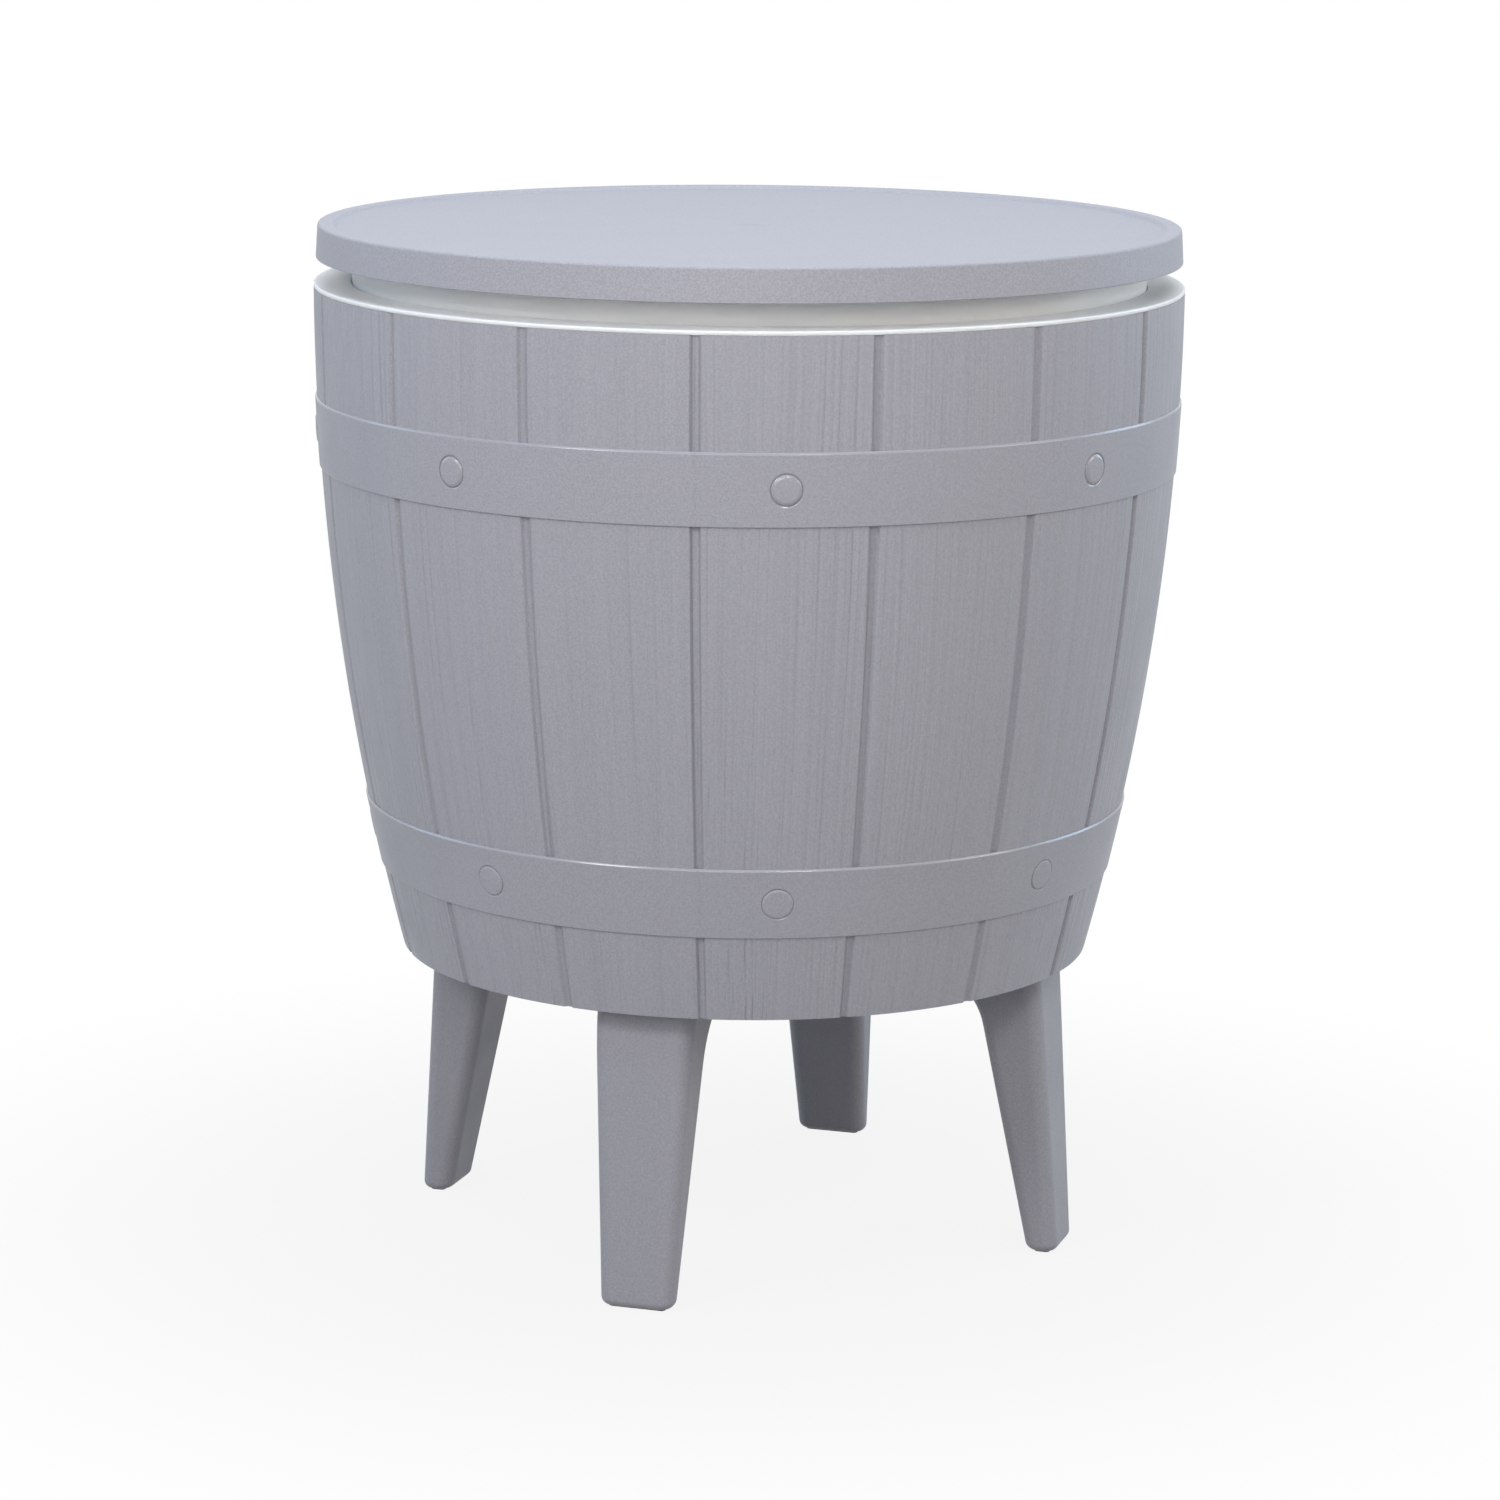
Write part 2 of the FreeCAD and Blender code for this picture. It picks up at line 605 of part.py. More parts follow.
def leg_blade(body, label):
    """The leg's tapered block, rounded at its uprights and hollowed from the top."""
    sketch = new_sketch(body, label + "_side", "XZ_Plane")
    draw_outline(sketch, [
        ("$leg_foot_inner", "$pad_rise"),
        ("$leg_foot_outer", "$pad_rise"),
        ("$leg_top_outer", "$leg_height"),
        ("$leg_top_inner", "$leg_height"),
    ])
    block = extrude(body, sketch, label + "_block", "2 * $leg_top_half_width")
    block.Midplane = True
    sketch = new_sketch(body, label + "_taper", "YZ_Plane")
    for hand in ("", "-"):
        draw_outline(sketch, [
            (hand + "$leg_top_half_width", "$leg_height"),
            (hand + "$leg_foot_half_width", "$pad_rise"),
            (hand + "$leg_foot_half_width", "0"),
            (hand + "2 * $leg_top_half_width", "0"),
            (hand + "2 * $leg_top_half_width", "$leg_height"),
        ])
    blade = extrude(body, sketch, label + "_blade", "2 * $leg_foot_outer", "Pocket", backwards=True)
    corners = dress_edges(body, blade, label + "_corners", "$leg_corner",
                          lambda edge: edge.BoundBox.ZLength > worth("$leg_height / 2"))
    doc.recompute()
    mouth = ["Face%d" % number for number, face in enumerate(corners.Shape.Faces, start=1)
             if face.BoundBox.ZMin > worth("$leg_height") - TOUCH]
    hollow = body.newObject("PartDesign::Thickness", label + "_hollow")
    hollow.Base = (corners, mouth)
    hollow.Reversed = True
    hollow.setExpression("Value", sized("$leg_wall"))
    return dress_edges(body, hollow, label + "_toe", "$leg_toe_round",
                       lambda edge: edge.BoundBox.ZMax < worth("$pad_rise") + TOUCH)


def leg(label, number):
    """A hollow tapered leg: X points outwards, the tab screws to the barrel's underside."""
    body = new_body(label, "0", LEG_TURN + " + " + str(number) + " * 360 / $leg_count")
    leg_blade(body, label)

    # The tab, with the flare that runs down from it into the blade's inner face
    weld = "($leg_top_inner + $tab_weld)"
    tab_end = "($leg_top_inner - $tab_length)"
    under = "($leg_height - $tab_thickness)"
    slope = "(($leg_foot_inner - $leg_top_inner) / ($leg_height - $pad_rise))"
    lean = "sqrt(1 + " + slope + "^2)"
    flare_z = "(" + under + " - $leg_flare)"
    flare_x = "(" + leg_section(flare_z)[0] + " - $leg_flare * " + lean + ")"
    touch_z = flare_z + " + $leg_flare * " + slope + " / " + lean
    sketch = new_sketch(body, label + "_tab_side", "XZ_Plane")
    draw_outline(sketch, [
        (tab_end, "$leg_height"),
        (tab_end, under),
        (flare_x, None),
        (None, touch_z),
        (weld, touch_z),
        (weld, "$leg_height"),
    ], {2: (flare_x, flare_z, "$leg_flare")})
    tab = extrude(body, sketch, label + "_tab", "2 * $tab_half_width")
    tab.Midplane = True
    dress_edges(body, tab, label + "_tab_corners", "$tab_corner",
                lambda edge: abs(edge.BoundBox.XMax - worth(tab_end)) < TOUCH
                and edge.BoundBox.ZLength > worth("$tab_thickness") - TOUCH)

    sketch = new_sketch(body, label + "_screw_holes", "XY_Plane", z="$leg_height")
    for side in ("", "-"):
        draw_circle(sketch, LEG_SCREW, side + "$tab_screw_half_gap", "$screw_radius + $screw_clearance")
    extrude(body, sketch, label + "_holes", "2 * $tab_thickness", "Pocket")
    sketch = new_sketch(body, label + "_pad_outline", "XY_Plane", z="$pad_rise")
    draw_rectangle(sketch, *leg_section("$pad_rise", "$pad_inset"))
    extrude(body, sketch, label + "_pad_recess", "$pad_recess", "Pocket", backwards=True)
    return body


def foot_pad(label, number):
    """A rubber pad seated in the leg's sole and standing a little below it."""
    body = new_body(label, "0", LEG_TURN + " + " + str(number) + " * 360 / $leg_count")
    sketch = new_sketch(body, label + "_outline", "XY_Plane")
    draw_rectangle(sketch, *leg_section("$pad_rise", "($pad_inset + $pad_clearance)"))
    slab = extrude(body, sketch, label + "_slab", "$pad_rise + $pad_recess")
    dress_edges(body, slab, label + "_corners", "$pad_corner",
                lambda edge: edge.BoundBox.ZLength > worth("$pad_rise"))
    return body


# Screws

def screw_profile(sketch, shank_radius, length, head_radius, head):
    """A pan-head screw, its head down and its shank up."""
    draw_outline(sketch, [
        ("0", "0"),
        (head_radius + " - " + head + " / 4", "0"),
        (head_radius, head + " / 2"),
        (head_radius, head),
        (shank_radius, head),
        (shank_radius, head + " + " + length + " - " + shank_radius),
        ("0", head + " + " + length),
    ])


def screw_ring(label, height, circle, length, count, shift="0", turn="0"):
    """Screws in a ring, heads down; the height is that of the face they clamp."""
    body = new_body(label, height + " - $screw_head", turn)
    screws = []
    for side in (("", "-") if shift != "0" else ("",)):
        name = label + ("_pair" if side else "")
        sketch = new_sketch(body, name + "_profile", "XZ_Plane", x=circle, z=side + shift)
        screw_profile(sketch, "$screw_radius", length, "$screw_head_radius", "$screw_head")
        screws.append(revolve(body, sketch, name + "_screw"))
    repeat_round(body, screws, label + "_ring", count)
    return body


# Post

def post_outer_tube():
    body = new_body("post_outer_tube", CUP_FLOOR)
    sketch = new_sketch(body, "outer_tube_section", "XY_Plane")
    draw_circle(sketch, "0", "0", "$post_radius")
    draw_circle(sketch, "0", "0", TUBE_BORE)
    extrude(body, sketch, "outer_tube_drawn", "$post_length")
    return body


def post_base_plug():
    return turned("post_base_plug", CUP_FLOOR, [
        ("$base_screw_radius + $pilot_clearance", "0"),
        (TUBE_BORE, "0"),
        (TUBE_BORE, "$base_plug_height"),
        ("$base_screw_radius + $pilot_clearance", "$base_plug_height"),
    ])


def post_base_screw():
    body = new_body("post_base_screw", BUCKET_BASE + " - $base_screw_head")
    sketch = new_sketch(body, "base_screw_profile", "XZ_Plane")
    screw_profile(sketch, "$base_screw_radius", "($bucket_wall + $base_screw_bite)",
                  "$base_screw_head_radius", "$base_screw_head")
    revolve(body, sketch, "base_screw_turned")
    return body


def post_collar():
    """The bush inside the outer tube's end guides the mast, and its foot stops the lock."""
    bush = "(" + TUBE_BORE + " - $pilot_clearance)"
    cap = "(" + POST_TOP + " - " + BUSH_FOOT + ")"
    sleeve = "($post_radius + $pilot_clearance)"
    bore = "($mast_radius + $running_clearance)"
    top = cap + " + $collar_cap"
    return turned("post_collar", BUSH_FOOT, [
        (bore, "0"),
        (bush, "0"),
        (bush, cap),
        (sleeve, cap),
        (sleeve, cap + " - $collar_skirt"),
        (sleeve + " + $collar_wall", cap + " - $collar_skirt"),
        (sleeve + " + $collar_wall", top + " - $collar_chamfer"),
        (sleeve + " + $collar_wall - $collar_chamfer", top),
        (bore, top),
    ])


def post_inner_tube():
    body = new_body("post_inner_tube", MAST_FOOT)
    sketch = new_sketch(body, "inner_tube_section", "XY_Plane")
    draw_circle(sketch, "0", "0", "$mast_radius")
    draw_circle(sketch, "0", "0", MAST_BORE)
    extrude(body, sketch, "inner_tube_drawn", MAST_TOP + " - " + MAST_FOOT)
    add_cross_hole(body, "inner_tube", PAN_PLATE + " + $head_pin_height - " + MAST_FOOT)
    return body


def add_cross_hole(body, name, height):
    """The hole for the pin that holds the mast in its head."""
    sketch = new_sketch(body, name + "_pin_hole_outline", "XZ_Plane")
    draw_circle(sketch, "0", height, "$head_pin_radius")
    hole = extrude(body, sketch, name + "_pin_hole", "4 * $mast_radius", "Pocket")
    hole.Midplane = True


# Twist lock

def lock_core():
    """Pressed into the mast's foot; its pin stands off the axis and wedges the collar."""
    body = new_body("lock_core", CORE_FLANGE)
    sketch = new_sketch(body, "lock_core_profile", "XZ_Plane")
    draw_outline(sketch, [
        ("0", "0"),
        ("$mast_radius", "0"),
        ("$mast_radius", "$core_flange"),
        (MAST_BORE, "$core_flange"),
        (MAST_BORE, "$core_flange + $core_length"),
        ("0", "$core_flange + $core_length"),
    ])
    revolve(body, sketch, "lock_core_turned")
    pin = CORE_FLANGE + " - " + LOCK_WASHER + " - $lock_washer"
    sketch = new_sketch(body, "lock_pin_outline", "XY_Plane", z="$core_flange / 2")
    draw_circle(sketch, "$lock_throw", "0", "$lock_pin_radius")
    extrude(body, sketch, "lock_pin", pin + " + $core_flange / 2", backwards=True)
    sketch = new_sketch(body, "lock_pilot_outline", "XY_Plane", z="-(" + pin + ")")
    draw_circle(sketch, "0", "0", "$screw_radius + $pilot_clearance")
    extrude(body, sketch, "lock_pilot", "$screw_bite", "Pocket", backwards=True)
    return body


def lock_collar():
    """A split collar that slides in the outer tube, with play for the pin's quarter turn."""
    body = new_body("lock_collar", LOCK_COLLAR)
    sketch = new_sketch(body, "lock_collar_section", "XY_Plane")
    draw_circle(sketch, "0", "0", TUBE_BORE + " - $running_clearance")
    middle = "$lock_throw / 2"
    draw_circle(sketch, middle, middle, "$lock_pin_radius + $lock_throw / sqrt(2) + $lock_end_play")
    extrude(body, sketch, "lock_collar_body", "$lock_collar_height")
    sketch = new_sketch(body, "lock_collar_slot", "XZ_Plane")
    draw_outline(sketch, [
        ("-2 * $post_radius", "-$lock_slot"),
        ("-$lock_pin_radius / 2", "-$lock_slot"),
        ("-$lock_pin_radius / 2", "$lock_collar_height + $lock_slot"),
        ("-2 * $post_radius", "$lock_collar_height + $lock_slot"),
    ])
    slot = extrude(body, sketch, "lock_collar_split", "$lock_slot", "Pocket")
    slot.Midplane = True
    return body


def lock_washer():
    return turned("lock_washer", LOCK_WASHER, [
        ("$screw_radius + $screw_clearance", "0"),
        ("$lock_washer_radius", "0"),
        ("$lock_washer_radius", "$lock_washer"),
        ("$screw_radius + $screw_clearance", "$lock_washer"),
    ])


def lock_screw():
    body = new_body("lock_screw", LOCK_BASE)
    sketch = new_sketch(body, "lock_screw_profile", "XZ_Plane")
    screw_profile(sketch, "$screw_radius", "($lock_washer + $screw_bite - $screw_radius)",
                  "$base_screw_head_radius", "$lock_screw_head")
    revolve(body, sketch, "lock_screw_turned")
    return body


# Lid

def tabletop():
    body = new_body("tabletop", SKIRT)
    surface = "($lid_side - $rim_height)"
    sketch = new_sketch(body, "tabletop_profile", "XZ_Plane")
    draw_outline(sketch, [
        ("0", TABLE_PLATE),
        ("$lid_top_radius - $lid_wall", TABLE_PLATE),
        ("$lid_skirt_radius - $lid_wall", "0"),
        ("$lid_skirt_radius", "0"),
        ("$lid_top_radius", "$lid_side - $rim_chamfer"),
        ("$lid_top_radius - $rim_chamfer", "$lid_side"),
        ("$lid_top_radius - $rim_width", "$lid_side"),
        ("$lid_top_radius - $rim_width - $rim_slope", surface),
        ("0", surface),
    ])
    revolve(body, sketch, "tabletop_turned")
    add_boss_ring(body, "lid_boss", "$lid_screw_circle", "$lid_screw_count")
    add_boss_ring(body, "head_boss", "$head_screw_circle", "$head_screw_count")
    return body


def add_boss_ring(body, name, circle, count):
    """Screw bosses that reach from the table's plate down to the pan."""
    sketch = new_sketch(body, name + "_outline", "XY_Plane", z=TABLE_PLATE + " + $lid_wall / 2")
    draw_circle(sketch, circle, "0", "$lid_boss_radius")
    boss = extrude(body, sketch, name, BOSS_DROP + " + $lid_wall / 2", backwards=True)
    repeat_round(body, [boss], name + "_ring", count)
    sketch = new_sketch(body, name + "_pilot_outline", "XY_Plane", z=TABLE_PLATE + " - " + BOSS_DROP)
    draw_circle(sketch, circle, "0", "$screw_radius + $pilot_clearance")
    pilot = extrude(body, sketch, name + "_pilot", "$screw_bite", "Pocket", backwards=True)
    repeat_round(body, [pilot], name + "_pilots", count)


def lid_underside():
    """The white pan under the table: its rim sits on the bucket's ledge."""
    socket_hole = "(" + HEAD_SOCKET + " + $screw_clearance)"
    body = turned("lid_underside", PAN, [
        (socket_hole, "$pan_recess"),
        ("$pan_radius - $pan_rim_width", "$pan_recess"),
        ("$pan_radius - $pan_rim_width", "0"),
        ("$pan_radius", "0"),
        ("$pan_radius", PAN_HEIGHT),
        ("$pan_radius - $pan_wall", PAN_HEIGHT),
        ("$pan_radius - $pan_wall", "$pan_recess + $pan_wall"),
        (socket_hole, "$pan_recess + $pan_wall"),
    ])
    for name, circle, count in (("lid_hole", "$lid_screw_circle", "$lid_screw_count"),
                                ("head_hole", "$head_screw_circle", "$head_screw_count")):
        sketch = new_sketch(body, name + "_outline", "XY_Plane", z="$pan_recess + 2 * $pan_wall")
        draw_circle(sketch, circle, "0", "$screw_radius + $screw_clearance")
        hole = extrude(body, sketch, name, "4 * $pan_wall", "Pocket")
        repeat_round(body, [hole], name + "_ring", count)
    return body


def post_head_flange():
    """The plate under the pan that carries the lid on the mast."""
    top = "($head_plate + $head_socket_depth)"
    body = turned("post_head_flange", HEAD, [
        (HEAD_BORE, "0"),
        ("$head_radius", "0"),
        ("$head_radius", "$head_plate"),
        (HEAD_SOCKET, "$head_plate"),
        (HEAD_SOCKET, top + " + $head_cap"),
        ("0", top + " + $head_cap"),
        ("0", top),
        (HEAD_BORE, top),
    ])
    sketch = new_sketch(body, "head_flange_hole_outline", "XY_Plane", z="2 * $head_plate")
    draw_circle(sketch, "$head_screw_circle", "0", "$screw_radius + $screw_clearance")
    hole = extrude(body, sketch, "head_flange_hole", "4 * $head_plate", "Pocket")
    repeat_round(body, [hole], "head_flange_holes", "$head_screw_count")
    add_cross_hole(body, "head_flange", "$head_plate + $head_pin_height")
    return body


def post_head_pin():
    body = new_body("post_head_pin", PAN_PLATE + " + $head_pin_height")
    sketch = new_sketch(body, "head_pin_section", "XZ_Plane")
    draw_circle(sketch, "0", "0", "$head_pin_radius")
    pin = extrude(body, sketch, "head_pin_drawn", "2 * " + HEAD_SOCKET)
    pin.Midplane = True
    return body


# Assembly

sub_parts = [barrel_shell(), ice_bucket(), drain_plug()]
for place, side in enumerate(("back_right", "back_left", "front_left", "front_right")):
    sub_parts.append(leg("leg_" + side, place))
    sub_parts.append(foot_pad("foot_pad_" + side, place))
sub_parts.append(screw_ring("leg_screws", "$leg_height - $tab_thickness", LEG_SCREW,
                            "($tab_thickness + $screw_bite - $screw_radius)", "$leg_count",
                            shift="$tab_screw_half_gap", turn=LEG_TURN))
sub_parts += [post_outer_tube(), post_base_plug(), post_base_screw(), post_collar(), post_inner_tube()]
sub_parts += [lock_core(), lock_collar(), lock_washer(), lock_screw()]
sub_parts += [tabletop(), lid_underside(), post_head_flange(), post_head_pin()]
sub_parts.append(screw_ring("lid_screws", PAN_PLATE, "$lid_screw_circle",
                            "($pan_wall + $screw_bite - $screw_radius)", "$lid_screw_count"))
sub_parts.append(screw_ring("head_flange_screws", HEAD, "$head_screw_circle",
                            "($head_plate + $pan_wall + $screw_bite - $screw_radius)",
                            "$head_screw_count"))
doc.recompute()

faults = [item.Name for item in doc.Objects if "Invalid" in item.State or "Error" in item.State]
faults += [item.Label for item in sub_parts if item.Shape.isNull() or not item.Shape.isValid()]
if faults:
    raise RuntimeError("failed: " + ", ".join(faults))

os.makedirs("parts", exist_ok=True)
for item in sub_parts:
    item.Shape.exportStep("parts/" + item.Label + ".step")
    print("%-22s solids %d  volume %.1f cm3  z %.1f to %.1f" % (
        item.Label, len(item.Shape.Solids), item.Shape.Volume / 1000,
        item.Shape.BoundBox.ZMin, item.Shape.BoundBox.ZMax))
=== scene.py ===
import math

import bmesh
import bpy
from mathutils import Matrix, Vector


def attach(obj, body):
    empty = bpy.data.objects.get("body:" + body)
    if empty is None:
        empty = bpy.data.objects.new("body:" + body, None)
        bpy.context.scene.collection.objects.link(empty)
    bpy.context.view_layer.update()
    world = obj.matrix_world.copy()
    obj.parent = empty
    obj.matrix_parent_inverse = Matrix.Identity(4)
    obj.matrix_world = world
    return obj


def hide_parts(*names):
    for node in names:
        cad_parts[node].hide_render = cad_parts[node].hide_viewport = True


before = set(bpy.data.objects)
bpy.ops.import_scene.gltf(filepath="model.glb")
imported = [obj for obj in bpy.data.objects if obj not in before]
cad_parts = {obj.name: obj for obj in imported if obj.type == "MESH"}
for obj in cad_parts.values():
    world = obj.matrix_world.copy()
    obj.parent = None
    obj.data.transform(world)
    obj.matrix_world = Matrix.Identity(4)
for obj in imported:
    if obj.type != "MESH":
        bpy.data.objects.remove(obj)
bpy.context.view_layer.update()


# Camera
# A long lens looks down a little on the table from in front of the gap
# between its two left legs, as the photograph does.
CAMERA_LENS, SENSOR_WIDTH = 115.87, 36
CAMERA_REACH, CAMERA_HEIGHT = 2.74975, 0.8485
camera_data = bpy.data.cameras.new("camera")
camera_data.lens = CAMERA_LENS
camera_data.sensor_width = SENSOR_WIDTH
camera_data.clip_end = 30
camera = bpy.data.objects.new("camera", camera_data)
bpy.context.collection.objects.link(camera)
bpy.context.scene.camera = camera
camera_side = math.radians(-27.27)
camera_yaw, camera_pitch, camera_roll = 0.00093, 0.20384, 0.00833
camera.matrix_world = (
    Matrix.Translation((CAMERA_REACH * math.sin(camera_side), -CAMERA_REACH * math.cos(camera_side),
                        CAMERA_HEIGHT))
    @ Matrix.Rotation(camera_side - camera_yaw, 4, "Z")
    @ Matrix.Rotation(math.pi / 2 - camera_pitch, 4, "X")
    @ Matrix.Rotation(camera_roll, 4, "Z")
)


# Studio
# A white floor that runs out of sight under a dim white sky, one large cool softbox
# overhead with a small lamp behind it, keys at the left and in front, and softer
# lamps at the sides.
WHITE = (1, 1, 1, 1)
FLOOR_RADIUS = 12
SHADOW_NEAR, SHADOW_FAR, SHADOW_SHARE = 0.2, 0.7, 0.88
LAMP_AIM = Vector((0, 0, 0.35))


def seen_or_mirrored(nodes, links):
    """1 for rays from the camera, a mirror or glass, which see the studio white."""
    path = nodes.new("ShaderNodeLightPath")
    mirrored = nodes.new("ShaderNodeMath")
    mirrored.operation = "MAXIMUM"
    links.new(path.outputs["Is Glossy Ray"], mirrored.inputs[0])
    links.new(path.outputs["Is Transmission Ray"], mirrored.inputs[1])
    either = nodes.new("ShaderNodeMath")
    either.operation = "MAXIMUM"
    links.new(path.outputs["Is Camera Ray"], either.inputs[0])
    links.new(mirrored.outputs[0], either.inputs[1])
    return either.outputs[0]


sky = bpy.data.worlds.new("sky")
sky.use_nodes = True
sky_nodes, sky_links = sky.node_tree.nodes, sky.node_tree.links
sky_light = sky_nodes["Background"]
sky_light.inputs["Color"].default_value = WHITE
sky_light.inputs["Strength"].default_value = 0.2
sky_white = sky_nodes.new("ShaderNodeBackground")
sky_white.inputs["Color"].default_value = WHITE
sky_white.inputs["Strength"].default_value = 1
sky_mix = sky_nodes.new("ShaderNodeMixShader")
sky_links.new(seen_or_mirrored(sky_nodes, sky_links), sky_mix.inputs["Fac"])
sky_links.new(sky_light.outputs[0], sky_mix.inputs[1])
sky_links.new(sky_white.outputs[0], sky_mix.inputs[2])
sky_links.new(sky_mix.outputs[0], sky_nodes["World Output"].inputs["Surface"])
bpy.context.scene.world = sky

floor_finish = bpy.data.materials.new("studio_floor")
floor_finish.use_nodes = True
floor_nodes, floor_links = floor_finish.node_tree.nodes, floor_finish.node_tree.links
floor_matt = floor_nodes["Principled BSDF"]
floor_matt.inputs["Base Color"].default_value = (0.3, 0.3, 0.3, 1)
floor_matt.inputs["Roughness"].default_value = 0.9
floor_glow = floor_nodes.new("ShaderNodeEmission")
floor_glow.inputs["Color"].default_value = WHITE
floor_glow.inputs["Strength"].default_value = 1
floor_place = floor_nodes.new("ShaderNodeTexCoord")
floor_reach = floor_nodes.new("ShaderNodeVectorMath")
floor_reach.operation = "LENGTH"
floor_links.new(floor_place.outputs["Object"], floor_reach.inputs[0])
floor_fade = floor_nodes.new("ShaderNodeMapRange")
floor_fade.interpolation_type = "SMOOTHSTEP"
floor_fade.inputs["From Min"].default_value = SHADOW_NEAR
floor_fade.inputs["From Max"].default_value = SHADOW_FAR
floor_fade.inputs["To Min"].default_value = SHADOW_SHARE
floor_fade.inputs["To Max"].default_value = 1
floor_links.new(floor_reach.outputs["Value"], floor_fade.inputs["Value"])
floor_share = floor_nodes.new("ShaderNodeMath")
floor_share.operation = "MULTIPLY"
floor_links.new(seen_or_mirrored(floor_nodes, floor_links), floor_share.inputs[0])
floor_links.new(floor_fade.outputs["Result"], floor_share.inputs[1])
floor_mix = floor_nodes.new("ShaderNodeMixShader")
floor_links.new(floor_share.outputs[0], floor_mix.inputs["Fac"])
floor_links.new(floor_matt.outputs[0], floor_mix.inputs[1])
floor_links.new(floor_glow.outputs[0], floor_mix.inputs[2])
floor_links.new(floor_mix.outputs[0], floor_nodes["Material Output"].inputs["Surface"])

floor_shape = bmesh.new()
bmesh.ops.create_circle(floor_shape, cap_ends=True, segments=64, radius=FLOOR_RADIUS)
floor_mesh = bpy.data.meshes.new("studio_floor")
floor_shape.to_mesh(floor_mesh)
floor_shape.free()
floor_mesh.materials.append(floor_finish)
studio_floor = bpy.data.objects.new("studio_floor", floor_mesh)
bpy.context.collection.objects.link(studio_floor)

for lamp_name, place, size, power, tint in (
    ("softbox", (-0.1, -0.2, 2.5), 2.2, 33, (0.7, 0.84, 1.0)),
    ("back_light", (0.67, 1.32, 2.72), 1.0, 9, (0.9, 0.95, 1.0)),
    ("left_key", (-2.355, -0.799, 2.078), 0.7, 29, (1.0, 1.0, 1.0)),
    ("front_key", (-0.486, -2.439, 2.078), 0.5, 14.5, (1.0, 1.0, 1.0)),
    ("front_fill", (-1.7, -2.23, 1.35), 1.2, 24.5, (1.0, 0.97, 0.97)),
    ("right_fill", (2.086, -1.896, 1.426), 1.2, 23, (1.0, 0.9, 0.8)),
    ("far_right", (2.896, -0.115, 1.176), 1.4, 24, (0.5, 0.76, 1.0)),
    ("far_left", (-2.144, 1.949, 1.176), 1.4, 12, (0.4, 0.7, 1.0)),
):
    lamp_data = bpy.data.lights.new(lamp_name, "AREA")
    lamp_data.shape = "SQUARE"
    lamp_data.size = size
    lamp_data.energy = power
    lamp_data.color = tint
    lamp = bpy.data.objects.new(lamp_name, lamp_data)
    lamp.location = place
    lamp.rotation_mode = "QUATERNION"
    lamp.rotation_quaternion = (LAMP_AIM - Vector(place)).to_track_quat("-Z", "Y")
    bpy.context.collection.objects.link(lamp)

bpy.context.scene.view_settings.view_transform = "Standard"


# Barrel
# One thick-walled injection moulding in grey polypropylene, shaped as sixteen
# staves with a moulded seam between each two and wood grain etched in the tool.
# Its floor is moulded with it, with holes for the drain spout and the post screw.
BARREL_FOOT, BARREL_TOP, TOP_RADIUS = 0.1705, 0.551, 0.2475
STAVE_COUNT = 16
STAVE_TURN = math.tau / STAVE_COUNT
STAVE_ARC = 1.51681
SEAM_ANGLE, SEAM_DEPTH = math.radians(1.5), 0.0021
BARREL_WALL, BARREL_FLOOR, FOOT_ROUND = 0.0032, 0.004, 0.0006
SERVICE_HOLE, DRAIN_HOLE, DRAIN_OFFSET = 0.014, 0.0135, 0.105
WELD = 0.000002
GREY = (0.335, 0.332, 0.37)


def stave_radius(height):
    """The barrel's radius at a height; the staves stand upright at the top."""
    return TOP_RADIUS - STAVE_ARC + math.sqrt(STAVE_ARC ** 2 - (BARREL_TOP - height) ** 2)


def flat_angle(x, y):
    return math.atan2(y, x)


def ring_of(extruded):
    """The new points and edges of an extrusion."""
    points = [item for item in extruded["geom"] if isinstance(item, bmesh.types.BMVert)]
    edges = [item for item in extruded["geom"] if isinstance(item, bmesh.types.BMEdge)]
    return points, edges


def grow_ring(shape, edges, height, ratio=None, radius=None):
    """Extrude a ring to a height, scaled about the barrel's axis or made truly round."""
    points, edges = ring_of(bmesh.ops.extrude_edge_only(shape, edges=edges))
    if ratio:
        bmesh.ops.scale(shape, verts=points, vec=(ratio, ratio, 1))
    for point in points:
        if radius:
            point.co.xy *= radius / point.co.xy.length
        point.co.z = height
    return edges


def node(tree, kind, **settings):
    made = tree.nodes.new("ShaderNode" + kind)
    for name, value in settings.items():
        setattr(made, name, value)
    return made


def sum_of(tree, operation, first, second):
    """A Math node on two sockets or numbers."""
    made = node(tree, "Math", operation=operation)
    for socket, value in zip(made.inputs, (first, second)):
        if isinstance(value, (int, float)):
            socket.default_value = value
        else:
            tree.links.new(value, socket)
    return made.outputs[0]


def speckle(tree, source, scale, detail=2.0, stretch=(1, 1, 1)):
    """Noise on the piece's own coordinates."""
    mapping = node(tree, "Mapping")
    mapping.inputs["Scale"].default_value = stretch
    tree.links.new(source, mapping.inputs["Vector"])
    noise = node(tree, "TexNoise")
    noise.inputs["Scale"].default_value = scale
    noise.inputs["Detail"].default_value = detail
    tree.links.new(mapping.outputs[0], noise.inputs["Vector"])
    return noise.outputs["Fac"]


def spread(tree, value, low, high, from_low=0.3, from_high=0.7):
    """Map a pattern to a range."""
    made = node(tree, "MapRange")
    made.inputs["From Min"].default_value = from_low
    made.inputs["From Max"].default_value = from_high
    made.inputs["To Min"].default_value = low
    made.inputs["To Max"].default_value = high
    tree.links.new(value, made.inputs["Value"])
    return made.outputs["Result"]


